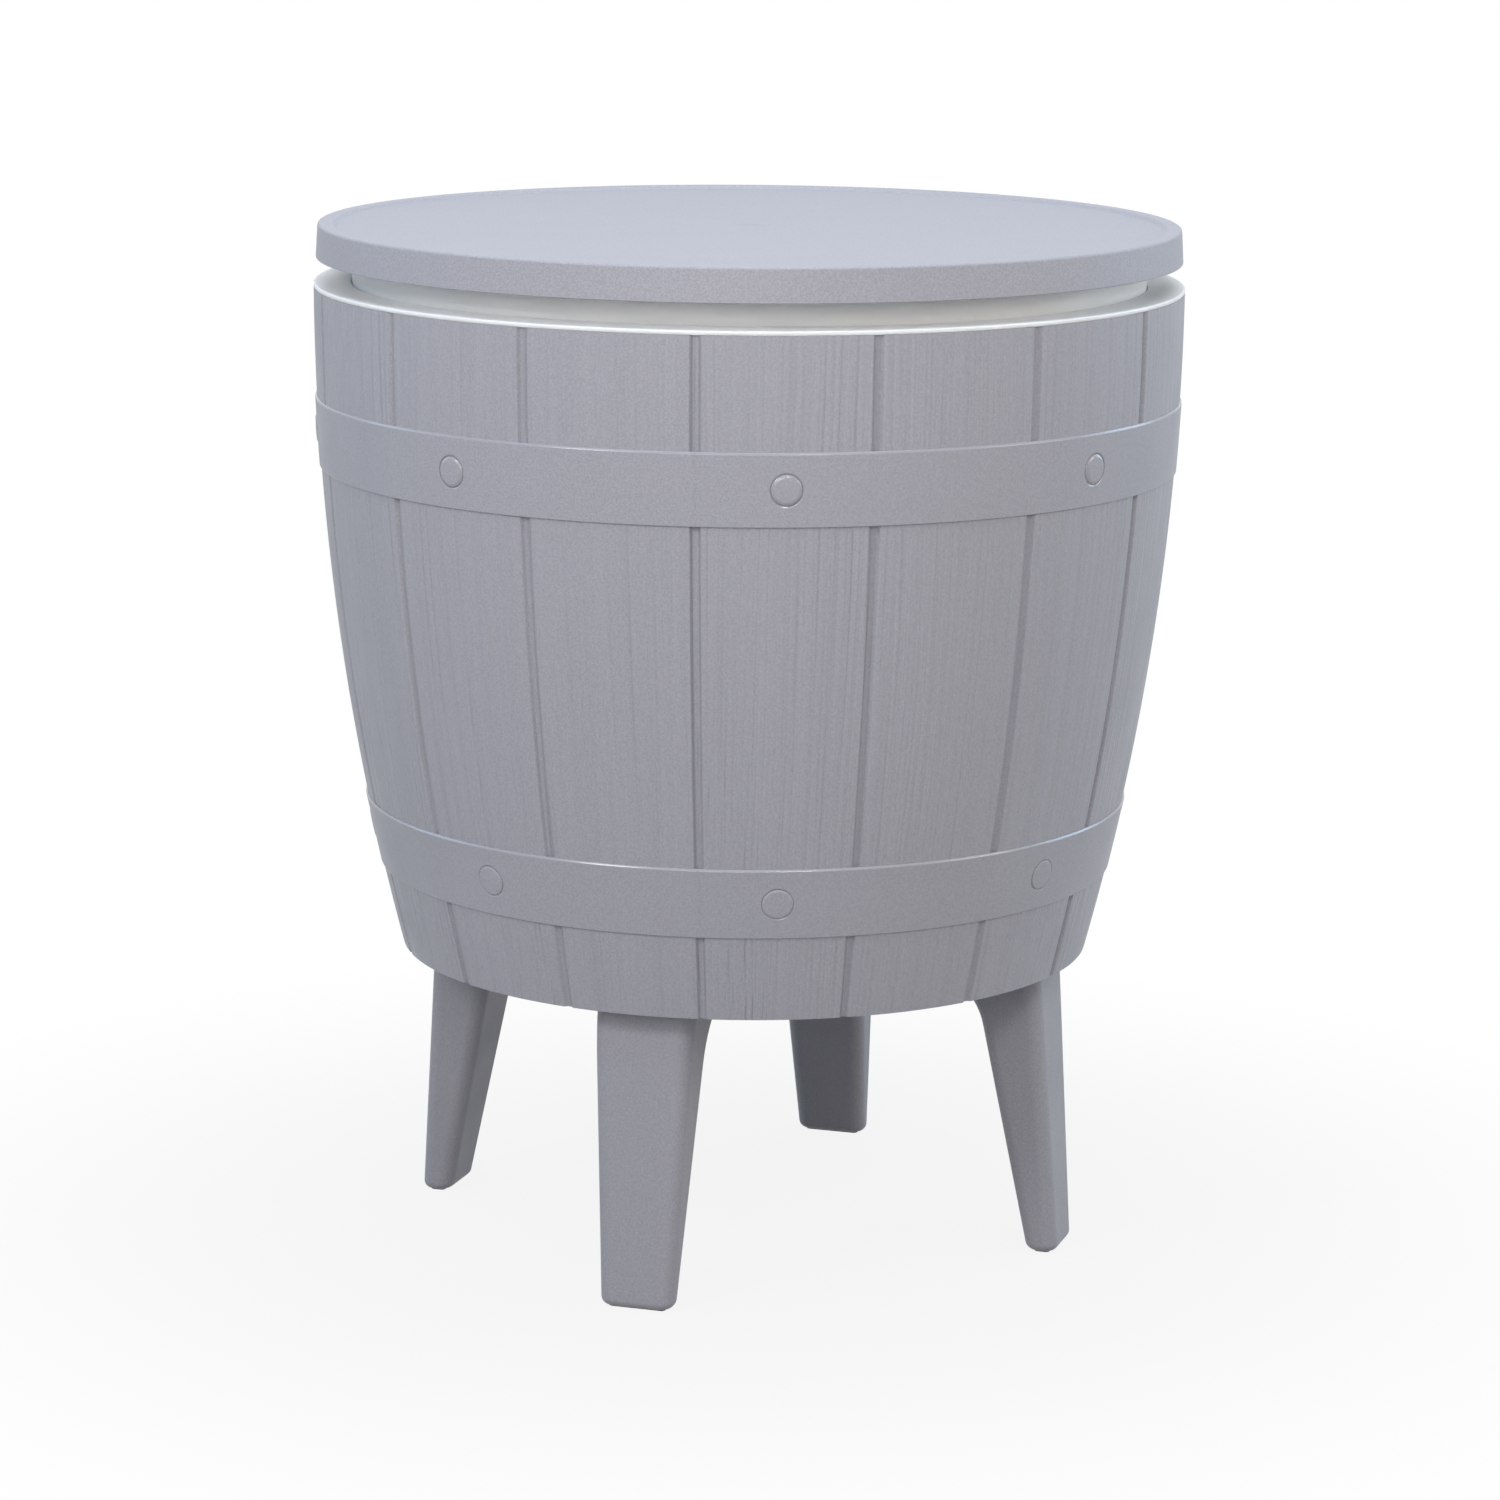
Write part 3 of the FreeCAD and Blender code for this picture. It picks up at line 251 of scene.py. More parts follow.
def tinted(tree, shader, colour, shade):
    """The base colour, made lighter or darker by a pattern around 1."""
    made = node(tree, "Mix", data_type="RGBA", blend_type="MULTIPLY")
    made.inputs["Factor"].default_value = 1
    made.inputs["A"].default_value = (*colour, 1)
    tree.links.new(shade, made.inputs["B"])
    tree.links.new(made.outputs["Result"], shader.inputs["Base Color"])


def raised(tree, shader, *layers):
    """Bump layers of (height, depth in metres), one over the other."""
    below = None
    for height, depth in layers:
        bump = node(tree, "Bump")
        bump.inputs["Strength"].default_value = 1
        bump.inputs["Distance"].default_value = depth
        tree.links.new(height, bump.inputs["Height"])
        if below:
            tree.links.new(below, bump.inputs["Normal"])
        below = bump.outputs["Normal"]
    tree.links.new(below, shader.inputs["Normal"])


def new_finish(name, roughness, **sockets):
    """A material, its shader and the piece's own coordinates."""
    finish = bpy.data.materials.new(name)
    finish.use_nodes = True
    tree = finish.node_tree
    shader = tree.nodes["Principled BSDF"]
    shader.inputs["Roughness"].default_value = roughness
    for socket, value in sockets.items():
        shader.inputs[socket.replace("_", " ")].default_value = value
    place = node(tree, "TexCoord").outputs["Object"]
    return finish, tree, shader, place


def moulded_grey(name, grain=False, colour=GREY, roughness=0.5, uneven=1.0, sandy=0.085):
    """Grey polypropylene from an etched tool: a dull satin, sandy all over; the grained kind also
    has painted shade darkening its seam grooves.
    """
    finish, tree, shader, place = new_finish(name, roughness, IOR=1.49)
    mottle = speckle(tree, place, 9, 3)
    sand = speckle(tree, place, 900, 1)
    shade = sum_of(tree, "ADD", spread(tree, mottle, -0.006 * uneven, 0.006 * uneven),
                   spread(tree, sand, 1 - sandy, 1 + sandy))
    layers = [(sand, 0.00012)]
    if grain:
        board = node(tree, "UVMap", uv_map="board").outputs["UV"]
        bend = speckle(tree, board, 1, 1, (14, 3, 1))
        apart = node(tree, "SeparateXYZ")
        tree.links.new(board, apart.inputs[0])
        waved = node(tree, "CombineXYZ")
        bent = sum_of(tree, "MULTIPLY", bend, 0.012)
        tree.links.new(sum_of(tree, "ADD", apart.outputs["X"], bent), waved.inputs["X"])
        tree.links.new(apart.outputs["Y"], waved.inputs["Y"])
        broad = speckle(tree, waved.outputs[0], 110, 2, (1, 0.012, 1))
        streaks = speckle(tree, waved.outputs[0], 330, 1, (1, 0.011, 1))
        swirl = speckle(tree, board, 1, 1.5, (9, 0.75, 1))
        phase = sum_of(tree, "ADD", sum_of(tree, "MULTIPLY", apart.outputs["X"], 420.0),
                       sum_of(tree, "MULTIPLY", swirl, 330.0))
        wave = spread(tree, sum_of(tree, "SINE", phase, 0.0), 0, 1, -1, 1)
        rings = sum_of(tree, "POWER", wave, 2.2)
        patches = spread(tree, speckle(tree, board, 14, 2, (1, 0.25, 1)), 0, 1, 0.45, 0.7)
        lines = sum_of(tree, "MULTIPLY", rings, patches)
        layers += [(lines, 0.0003), (streaks, 0.0011), (broad, 0.0018)]
        for pattern, low, high in ((lines, 0.003, -0.012), (streaks, 0.04, -0.04),
                                   (broad, 0.035, -0.035)):
            shade = sum_of(tree, "ADD", shade, spread(tree, pattern, low, high, 0, 1))
        # Painted shade: the colour is darkened by 7% in the seam grooves, where shade falls.
        seam_painted_shade = node(tree, "Attribute", attribute_name="seam_painted_shade").outputs["Fac"]
        shade = sum_of(tree, "MULTIPLY", shade, spread(tree, seam_painted_shade, 1, 0.93, 0, 1))
    tinted(tree, shader, colour, shade)
    rough = spread(tree, speckle(tree, place, 25, 3), roughness - 0.05 * uneven,
                   roughness + 0.06 * uneven)
    tree.links.new(rough, shader.inputs["Roughness"])
    raised(tree, shader, *layers)
    return finish


def add_piece(name, shape, finish, body, replaced, sharp=35):
    """Weld and close up a shape, and hang the piece on its body of the frame."""
    bmesh.ops.remove_doubles(shape, verts=shape.verts, dist=WELD)
    bmesh.ops.recalc_face_normals(shape, faces=shape.faces)
    mesh = bpy.data.meshes.new(name)
    shape.to_mesh(mesh)
    shape.free()
    mesh.shade_smooth()
    mesh.set_sharp_from_angle(angle=math.radians(sharp))
    mesh.materials.append(finish)
    made = bpy.data.objects.new(name, mesh)
    bpy.context.collection.objects.link(made)
    even = made.modifiers.new("even_normals", "WEIGHTED_NORMAL")
    even.keep_sharp = True
    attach(made, body)
    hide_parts(*replaced)
    return made


def cut(shape, cutter):
    """Take one closed shape out of another with a Boolean modifier, and give back the rest."""
    objects = []
    for role, solid in (("work", shape), ("cutter", cutter)):
        bmesh.ops.remove_doubles(solid, verts=solid.verts, dist=WELD)
        bmesh.ops.recalc_face_normals(solid, faces=solid.faces)
        mesh = bpy.data.meshes.new(role)
        solid.to_mesh(mesh)
        solid.free()
        objects.append(bpy.data.objects.new(role, mesh))
        bpy.context.collection.objects.link(objects[-1])
    work, tool = objects
    boolean = work.modifiers.new("cut", "BOOLEAN")
    boolean.object = tool
    boolean.operation = "DIFFERENCE"
    boolean.solver = "EXACT"
    bpy.context.view_layer.update()
    cut_work = work.evaluated_get(bpy.context.evaluated_depsgraph_get())
    cut_mesh = bpy.data.meshes.new_from_object(cut_work)
    left = bmesh.new()
    left.from_mesh(cut_mesh)
    for made in objects:
        bpy.data.objects.remove(made)
    return left


def rod(radius, low, high, place=(0, 0), segments=64):
    """A plain round bar, used as a cutter."""
    bar = bmesh.new()
    bmesh.ops.create_cone(bar, cap_ends=True, segments=segments, radius1=radius, radius2=radius,
                          depth=high - low,
                          matrix=Matrix.Translation((place[0], place[1], (low + high) / 2)))
    return bar


def staves():
    shape = bmesh.new()
    half_seam = SEAM_ANGLE / 2
    across = [(0, SEAM_DEPTH), (0.44 * half_seam, SEAM_DEPTH), (0.56 * half_seam, SEAM_DEPTH * 0.9),
              (0.86 * half_seam, SEAM_DEPTH * 0.26), (0.98 * half_seam, SEAM_DEPTH * 0.08),
              (1.12 * half_seam, SEAM_DEPTH * 0.015)]
    face_steps = 12
    face_start = 1.3 * half_seam
    for step in range(face_steps + 1):
        across.append((face_start + (STAVE_TURN - 2 * face_start) * step / face_steps, 0))
    across += [(STAVE_TURN - turn, depth) for turn, depth in reversed(across[:6])]
    points = []
    for turn, depth in across:
        radius = stave_radius(BARREL_TOP) - depth
        angle = turn + STAVE_TURN / 2
        spot = (radius * math.cos(angle), radius * math.sin(angle), BARREL_TOP)
        points.append(shape.verts.new(spot))
    edges = [shape.edges.new(pair) for pair in zip(points, points[1:])]
    bmesh.ops.spin(shape, geom=points + edges, cent=(0, 0, 0), axis=(0, 0, 1), angle=math.tau,
                   steps=STAVE_COUNT, use_duplicate=True)
    bmesh.ops.remove_doubles(shape, verts=shape.verts, dist=0.00001)
    top_edges = list(shape.edges)
    edges, height = top_edges, BARREL_TOP
    levels = 44
    for level in range(1, levels + 1):
        below = BARREL_TOP - (BARREL_TOP - BARREL_FOOT - FOOT_ROUND) * level / levels
        edges = grow_ring(shape, edges, below, stave_radius(below) / stave_radius(height))
        height = below
    foot = stave_radius(BARREL_FOOT)
    edges = grow_ring(shape, edges, BARREL_FOOT + 0.0001, (foot - 0.0002) / foot)
    edges = grow_ring(shape, edges, BARREL_FOOT, (foot - FOOT_ROUND) / foot)
    inside = foot - BARREL_WALL
    for height, radius in ((BARREL_FOOT, inside), (BARREL_FOOT, SERVICE_HOLE + 0.0004),
                           (BARREL_FOOT + 0.0004, SERVICE_HOLE),
                           (BARREL_FOOT + BARREL_FLOOR, SERVICE_HOLE),
                           (BARREL_FOOT + BARREL_FLOOR, inside)):
        edges = grow_ring(shape, edges, height, radius=radius)
    for level in range(1, 9):
        height = BARREL_FOOT + BARREL_FLOOR + (BARREL_TOP - BARREL_FOOT - BARREL_FLOOR) * level / 8
        edges = grow_ring(shape, edges, height, radius=stave_radius(height) - BARREL_WALL)
    bmesh.ops.bridge_loops(shape, edges=top_edges + edges)
    return cut(shape, rod(DRAIN_HOLE, BARREL_FOOT - 0.01, BARREL_FOOT + 0.02, (0, DRAIN_OFFSET)))


barrel_shape = staves()
board = barrel_shape.loops.layers.uv.new("board")
# The points in the seam grooves below the top, whose colour is darkened as painted shade.
seam_painted_shade = barrel_shape.verts.layers.float.new("seam_painted_shade")
for point in barrel_shape.verts:
    turn = flat_angle(point.co.x, point.co.y) / STAVE_TURN - 0.5
    across = abs(turn - round(turn)) * STAVE_TURN / (SEAM_ANGLE / 2)
    point[seam_painted_shade] = 1 if across < 0.9 and point.co.z < BARREL_TOP - 0.001 else 0
barrel_shape.normal_update()
for face in barrel_shape.faces:
    middle = face.calc_center_median()
    outward = Vector((middle.x, middle.y, 0)).normalized().dot(face.normal)
    face.material_index = 0 if outward > 0.5 and middle.xy.length > 0.1 else 1
    number = math.floor(flat_angle(middle.x, middle.y) / STAVE_TURN + 0.5)
    for corner in face.loops:
        spot = corner.vert.co
        turn = flat_angle(spot.x, spot.y) - number * STAVE_TURN
        turn = (turn + math.pi) % math.tau - math.pi
        corner[board].uv = (turn * TOP_RADIUS + number * 0.173, spot.z + number * 0.61)
grain_and_seam_shade_grey = moulded_grey("grey_plastic_wood_grain_seam_shade", grain=True)
plain_grey = moulded_grey("grey_plastic_plain")
barrel = add_piece("barrel_staves", barrel_shape, grain_and_seam_shade_grey, "barrel", ["barrel_shell"])
barrel.data.materials.append(plain_grey)


# Hoops
# Two plain bands moulded round the staves, sandy where they are grained, with a
# crisp rounded edge, a hair of flash where the two halves of the tool meet, and a
# round dish for each rivet head.
HOOP_PROUD, HOOP_WIDTH = 0.001, 0.04
DISH_RADIUS = 0.0088
RIVET_COUNT = 8


def polished_grey(name):
    """The same plastic where the tool is bare steel, on edges and rivet heads: glossier."""
    finish, tree, shader, place = new_finish(name, 0.21, IOR=1.55)
    tinted(tree, shader, GREY, spread(tree, speckle(tree, place, 400, 2), 0.94, 0.98))
    rough = spread(tree, speckle(tree, place, 150, 2), 0.18, 0.25)
    tree.links.new(rough, shader.inputs["Roughness"])
    raised(tree, shader, (speckle(tree, place, 500, 1), 0.00002))
    return finish


shiny_grey = polished_grey("grey_plastic_polished")


def spun(outline, steps=256, closed=True):
    """Turn an outline of (radius, height) about the barrel's axis."""
    shape = bmesh.new()
    points = [shape.verts.new((radius, 0, height)) for radius, height in outline]
    edges = [shape.edges.new(pair) for pair in zip(points, points[1:])]
    if closed:
        edges.append(shape.edges.new((points[-1], points[0])))
    bmesh.ops.spin(shape, geom=points + edges, cent=(0, 0, 0), axis=(0, 0, 1), angle=math.tau,
                   steps=steps, use_merge=True)
    bmesh.ops.remove_doubles(shape, verts=shape.verts, dist=WELD)
    bmesh.ops.recalc_face_normals(shape, faces=shape.faces)
    return shape


def rounded(shape, edges, radius, segments):
    """Round the given edges off."""
    bmesh.ops.bevel(shape, geom=edges, offset=radius, affect="EDGES", segments=segments,
                    profile=0.5, material=-1)


def soften(shape, radius, spots=None, segments=3, least=25):
    """Round the edges of a turned shape, all of them or the rings at (radius, height) spots."""
    picked = []
    for edge in shape.edges:
        if len(edge.link_faces) != 2 or edge.calc_face_angle(0) < math.radians(least):
            continue
        ends = [(point.co.xy.length, point.co.z) for point in edge.verts]
        if spots is None or any(all(math.dist(end, spot) < 0.00005 for end in ends)
                                for spot in spots):
            picked.append(edge)
    rounded(shape, picked, radius, segments)
    return shape


def block(size, middle=(0, 0, 0)):
    """A plain box with its middle at a place."""
    shape = bmesh.new()
    bmesh.ops.create_cube(shape, size=1)
    bmesh.ops.scale(shape, verts=shape.verts, vec=size)
    bmesh.ops.translate(shape, verts=shape.verts, vec=middle)
    return shape


def join(shape, added):
    """Put a second shape into the first."""
    mesh = bpy.data.meshes.new("added")
    added.to_mesh(mesh)
    added.free()
    shape.from_mesh(mesh)


def on_hoop(height, turn=22.5):
    """Stand a shape made along +X on the middle of a hoop."""
    lean = math.asin((BARREL_TOP - height) / (STAVE_ARC + HOOP_PROUD))
    return (Matrix.Rotation(math.radians(turn), 4, "Z")
            @ Matrix.Translation((stave_radius(height) + HOOP_PROUD, 0, height))
            @ Matrix.Rotation(lean, 4, "Y"))


def all_round(shape, count):
    """Repeat a shape round the barrel's axis."""
    bmesh.ops.spin(shape, geom=shape.verts[:] + shape.edges[:] + shape.faces[:], cent=(0, 0, 0),
                   axis=(0, 0, 1), angle=math.tau * (count - 1) / count, steps=count - 1,
                   use_duplicate=True)
    return shape


def turned(outline, steps=48):
    """Turn an outline of (radius, rise) about the +X axis, to stand on a hoop."""
    shape = bmesh.new()
    points = [shape.verts.new((rise, radius, 0)) for radius, rise in outline]
    edges = [shape.edges.new(pair) for pair in zip(points, points[1:])]
    bmesh.ops.spin(shape, geom=points + edges, cent=(0, 0, 0), axis=(1, 0, 0), angle=math.tau,
                   steps=steps, use_merge=True)
    bmesh.ops.remove_doubles(shape, verts=shape.verts, dist=WELD)
    bmesh.ops.recalc_face_normals(shape, faces=shape.faces)
    return shape


for hoop_name, hoop_foot, dish_depth in (("hoop_upper", 0.4497, 0.0008),
                                         ("hoop_lower", 0.2195, 0.0006)):
    hoop_middle = hoop_foot + HOOP_WIDTH / 2
    heights = [hoop_foot + HOOP_WIDTH * step / 5 for step in range(6)]
    faces = [(stave_radius(height) + HOOP_PROUD, height) for height in heights]
    roots = [(stave_radius(height) - 0.0022, height) for height in reversed(heights)]
    lip = (faces[-1][0] - 0.0007, faces[-1][1])
    faces[-1] = (faces[-1][0], faces[-1][1] - 0.0012)
    band = spun(faces + [lip] + roots, steps=360)
    soften(band, 0.0003, [faces[-1], lip], segments=2, least=15)
    soften(band, 0.0003, [faces[0]], segments=2)
    dish = turned([(0, -dish_depth), (DISH_RADIUS, -dish_depth), (DISH_RADIUS, -0.0004),
                   (DISH_RADIUS + 0.001, 0.0001), (DISH_RADIUS + 0.001, 0.0005), (0, 0.0005)])
    bmesh.ops.transform(dish, verts=dish.verts, matrix=on_hoop(hoop_middle))
    band = cut(band, all_round(dish, RIVET_COUNT))
    band.normal_update()
    for face in band.faces:
        middle = face.calc_center_median()
        outward = Vector((middle.x, middle.y, 0)).normalized().dot(face.normal)
        face.material_index = 1 if abs(outward) < 0.97 and middle.xy.length > 0.2 else 0
    for parting in (-123.75, 56.25):
        flash = block((0.0016, 0.0003, 0.0392))
        flash_place = on_hoop(hoop_middle, parting) @ Matrix.Translation((-0.0007, 0, 0))
        bmesh.ops.transform(flash, verts=flash.verts, matrix=flash_place)
        join(band, flash)
    hoop = add_piece(hoop_name, band, plain_grey, "barrel", ["barrel_shell"],
                     sharp=20)
    hoop.data.materials.append(shiny_grey)


# Rivet heads
# Flat heads with a broad rounded edge, moulded in the dishes on the hoops, in the
# middle of every other stave; the lower ones are flatter and sandy.
RIVET_GAP = 0.0003
for rivet_name, rivet_height, sunk, crown, edge_round, glossy in (
        ("rivets_upper", 0.4697, 0.0008, 0.0007, 0.0032, True),
        ("rivets_lower", 0.2395, 0.0006, 0.0004, 0.002, False)):
    head_radius = DISH_RADIUS - RIVET_GAP
    steepest = math.radians(50 if glossy else 40)
    flat = head_radius - edge_round * math.sin(steepest)
    outline = [(head_radius, -sunk - 0.0004)]
    for step in range(6, -1, -1):
        angle = steepest * step / 6
        outline.append((flat + edge_round * math.sin(angle),
                        crown - 0.0001 - edge_round * (1 - math.cos(angle))))
    outline += [(flat * 0.7, crown - 0.00004), (flat * 0.35, crown), (0, crown)]
    head = turned(outline, 40)
    for face in head.faces:
        face.material_index = 1 if glossy and face.normal.x < 0.985 else 0
    bmesh.ops.transform(head, verts=head.verts, matrix=on_hoop(rivet_height))
    heads = add_piece(rivet_name, all_round(head, RIVET_COUNT), plain_grey, "barrel",
                      ["barrel_shell"], sharp=50)
    heads.data.materials.append(shiny_grey)


# Legs
# Four hollow tapered legs in the same grey plastic, wide at the top and flared
# inside, each with a tab that screws up under the barrel's floor. Their grey is set
# darker than the barrel's as painted shade for the shadow under the barrel.
LEG_SIDES = ("back_right", "back_left", "front_left", "front_right")
LEG_TOP, LEG_FOOT = 0.1705, 0.0008
TOP_INNER, TOP_OUTER, TOP_HALF = 0.1435, 0.1847, 0.029
TOE_INNER, TOE_OUTER, TOE_HALF = 0.178, 0.1965, 0.0212
LEG_CORNER, TOE_ROUND = 0.0085, 0.0045
INNER_SLOPE, OUTER_SLOPE = (TOE_INNER - TOP_INNER) / (LEG_TOP - LEG_FOOT), 0.07
FLARE, FLARE_FOOT = 0.034, 0.1345
TAB_THICKNESS, TAB_CORNER = 0.004, 0.01
# Painted shade: a darker grey than the barrel's stands in for the shade under the barrel.
leg_grey_painted_shade = moulded_grey("grey_plastic_leg_painted_shade", colour=(0.285, 0.282, 0.316))


def upright(edge, rise):
    """Whether an edge climbs by more than the given rise."""
    return abs(edge.verts[0].co.z - edge.verts[1].co.z) > rise


def stand_at(shape, place):
    """Turn a shape made along +X to one of the four corners."""
    bmesh.ops.rotate(shape, verts=shape.verts, cent=(0, 0, 0),
                     matrix=Matrix.Rotation(math.radians(45 + 90 * place), 3, "Z"))


def leg_shape():
    """One leg along +X, its blade and its tab."""
    blade = bmesh.new()
    bmesh.ops.create_cube(blade, size=1)
    for point in blade.verts:
        at_top = point.co.z > 0
        inner, outer, half = ((TOP_INNER, TOP_OUTER, TOP_HALF) if at_top
                              else (TOE_INNER, TOE_OUTER, TOE_HALF))
        point.co = (outer if point.co.x > 0 else inner, math.copysign(half, point.co.y),
                    LEG_TOP if at_top else LEG_FOOT)
    rounded(blade, [edge for edge in blade.edges if upright(edge, 0.1)], LEG_CORNER, 8)
    toe = [edge for edge in blade.edges if max(p.co.z for p in edge.verts) < 0.002]
    rounded(blade, toe, TOE_ROUND, 6)
    long_edges = [edge for edge in blade.edges if upright(edge, 0.1)]
    bmesh.ops.subdivide_edges(blade, edges=long_edges, cuts=39)
    for point in blade.verts:
        rise = min(point.co.z - FLARE_FOOT, FLARE - 0.0015)
        if rise > 0:
            down = LEG_TOP - point.co.z
            inner, outer = TOP_INNER + INNER_SLOPE * down, TOP_OUTER + OUTER_SLOPE * down
            share = (outer - point.co.x) / (outer - inner)
            point.co.x -= share * (FLARE - math.sqrt(FLARE ** 2 - rise ** 2))

    tab = block((0.03, 0.042, TAB_THICKNESS), (0.1225, 0, LEG_TOP - TAB_THICKNESS / 2))
    ends = [edge for edge in tab.edges
            if all(p.co.x < 0.108 for p in edge.verts) and upright(edge, 0.003)]
    rounded(tab, ends, TAB_CORNER, 8)
    join(blade, tab)
    return blade


for place, side_name in enumerate(LEG_SIDES):
    shape = leg_shape()
    stand_at(shape, place)
    add_piece("leg_moulding_" + side_name, shape, leg_grey_painted_shade, "barrel", ["leg_" + side_name])


# Foot pads
# A thin black rubber pad pressed into a shallow recess in the sole of each leg,
# so that the table doesn't slide or scratch the floor.
def rubber(name, colour):
    finish, tree, shader, place = new_finish(name, 0.75, IOR=1.5)
    shade = spread(tree, speckle(tree, place, 40, 3), 0.88, 1.1)
    tinted(tree, shader, colour, shade)
    raised(tree, shader, (speckle(tree, place, 2200, 2), 0.00005))
    return finish


pad_rubber = rubber("foot_rubber", (0.03, 0.03, 0.032))
PAD_SIZE, PAD_CORNER, PAD_EDGE = (0.009, 0.033, 0.003), 0.0025, 0.0004
for place, side_name in enumerate(LEG_SIDES):
    shape = block(PAD_SIZE)
    rounded(shape, [edge for edge in shape.edges if upright(edge, 0.002)], PAD_CORNER, 5)
    sole = [edge for edge in shape.edges if all(p.co.z < -0.001 for p in edge.verts)]
    rounded(shape, sole, PAD_EDGE, 2)
    bmesh.ops.translate(shape, verts=shape.verts, vec=((TOE_INNER + TOE_OUTER) / 2, 0, 0.0015))
    stand_at(shape, place)
    add_piece("pad_" + side_name, shape, pad_rubber, "barrel", ["foot_pad_" + side_name])


# Screws
# Zinc-plated pan-head screws with a cross recess, all driven from below. The same
# kind holds the legs, the post, the lock, the lid and the post head.
def metal(name, colour, roughness, brushed=(1, 1, 1)):
    finish, tree, shader, place = new_finish(name, roughness, Metallic=1.0)
    tinted(tree, shader, colour, spread(tree, speckle(tree, place, 240, 3, brushed), 0.94, 1.04))
    rough = spread(tree, speckle(tree, place, 300, 3, brushed), roughness - 0.04, roughness + 0.05)
    tree.links.new(rough, shader.inputs["Roughness"])
    raised(tree, shader, (speckle(tree, place, 900, 2, brushed), 0.00002))
    return finish


screw_zinc = metal("screw_zinc", (0.62, 0.63, 0.64), 0.32)


def screw_shape(shank, length, head, head_height):
    """A screw standing on its head at the origin, with its recess cut from below."""
    body = spun([(0, 0), (head - head_height * 0.25, 0), (head, head_height * 0.5),
                 (head, head_height), (shank, head_height), (shank, head_height + length - shank),
                 (0, head_height + length)], steps=28, closed=False)
    body = soften(body, head_height * 0.12, segments=2)
    for turn in (0, math.pi / 2):
        slot = block((head * 1.05, head * 0.2, head_height * 1.1))
        bmesh.ops.rotate(slot, verts=slot.verts, cent=(0, 0, 0),
                         matrix=Matrix.Rotation(turn, 3, "Z"))
        body = cut(body, slot)
    return body


def screw_pieces(name, places, level, body, replaced, shank, length, head, head_height):
    """The same screw at each place, each left at another turn."""
    one = screw_shape(shank, length, head, head_height)
    mesh = bpy.data.meshes.new(name)
    one.to_mesh(mesh)
    one.free()
    every = bmesh.new()
    for turn, (across, along) in enumerate(places):
        before = len(every.verts)
        every.from_mesh(mesh)
        every.verts.ensure_lookup_table()
        stand = Matrix.Translation((across, along, level)) @ Matrix.Rotation(turn * 1.1, 4, "Z")
        bmesh.ops.transform(every, verts=every.verts[before:], matrix=stand)
    return add_piece(name, every, screw_zinc, body, replaced)


def on_ring(circle, count, turn=0, shift=0):
    """Places round the axis; a shift sets a pair either side of each."""
    places = []
    for number in range(count):
        angle = math.radians(turn) + number * math.tau / count
        for side in ((-1, 1) if shift else (0,)):
            places.append((circle * math.cos(angle) - side * shift * math.sin(angle),
                           circle * math.sin(angle) + side * shift * math.cos(angle)))
    return places


screw_pieces("screws_leg", on_ring(0.1215, 4, 45, 0.011), 0.1637, "barrel", ["leg_screws"],
             0.002, 0.016, 0.0042, 0.0028)


# Ice bucket
# A white food-safe polypropylene liner dropped into the barrel: its flange lies
# on the barrel's edge, a ledge inside the mouth carries the lid, and a cup in the
# middle of its floor holds the post. A spout moulded under the floor is the drain.
def moulded_white(name, roughness=0.34):
    finish, tree, shader, place = new_finish(name, roughness, IOR=1.49)
    shader.inputs["Subsurface Weight"].default_value = 0.8
    shader.inputs["Subsurface Radius"].default_value = (1, 1, 0.95)
    shader.inputs["Subsurface Scale"].default_value = 0.008
    shade = spread(tree, speckle(tree, place, 12, 3), 0.985, 1.0)
    tinted(tree, shader, (0.96, 0.975, 0.955), shade)
    rough = spread(tree, speckle(tree, place, 30, 3), roughness - 0.05, roughness + 0.07)
    tree.links.new(rough, shader.inputs["Roughness"])
    raised(tree, shader, (speckle(tree, place, 800, 2), 0.00002),
           (speckle(tree, place, 22, 1), 0.0003))
    return finish


white_plastic = moulded_white("white_plastic")
BUCKET_RIM, BUCKET_FLOOR, BUCKET_CORNER = 0.5535, 0.225, 0.0138
MOUTH, MOUTH_LIP, LEDGE, LEDGE_RADIUS, FLOOR_EDGE = 0.2283, 0.2266, 0.541, 0.216, 0.16
CUP_RADIUS, CUP_BORE, CUP_FLOOR, CUP_TOP = 0.0237, 0.0202, 0.193, 0.24
SPOUT_BORE, SPOUT_RADIUS, SPOUT_TOP = 0.0095, 0.013, 0.2235
bucket_outline = [
    (0.0043, 0.19), (CUP_RADIUS, 0.19), (CUP_RADIUS, 0.222), (0.153, 0.222), (0.1648, 0.232),
    (0.219, 0.538), (0.2313, 0.538), (0.2313, BARREL_TOP), (0.2418, BARREL_TOP), (0.2418, 0.543),
    (0.2438, 0.543), (0.2438, BARREL_TOP), (TOP_RADIUS, BARREL_TOP), (TOP_RADIUS, BUCKET_RIM),
    (MOUTH_LIP, BUCKET_RIM), (MOUTH_LIP, 0.5517), (MOUTH, 0.5505), (MOUTH, LEDGE),
    (LEDGE_RADIUS, LEDGE), (FLOOR_EDGE, BUCKET_FLOOR), (CUP_RADIUS, BUCKET_FLOOR),
    (CUP_RADIUS, CUP_TOP), (CUP_BORE, CUP_TOP), (CUP_BORE, CUP_FLOOR), (0.0043, CUP_FLOOR),
]
bucket = spun(bucket_outline, steps=288)
soften(bucket, BUCKET_CORNER, [(FLOOR_EDGE, BUCKET_FLOOR)], segments=8)
soften(bucket, 0.0008, [(TOP_RADIUS, BUCKET_RIM), (LEDGE_RADIUS, LEDGE), (CUP_RADIUS, CUP_TOP),
                        (CUP_BORE, CUP_TOP)], segments=4)
soften(bucket, 0.0003, [(MOUTH_LIP, BUCKET_RIM)], segments=2)
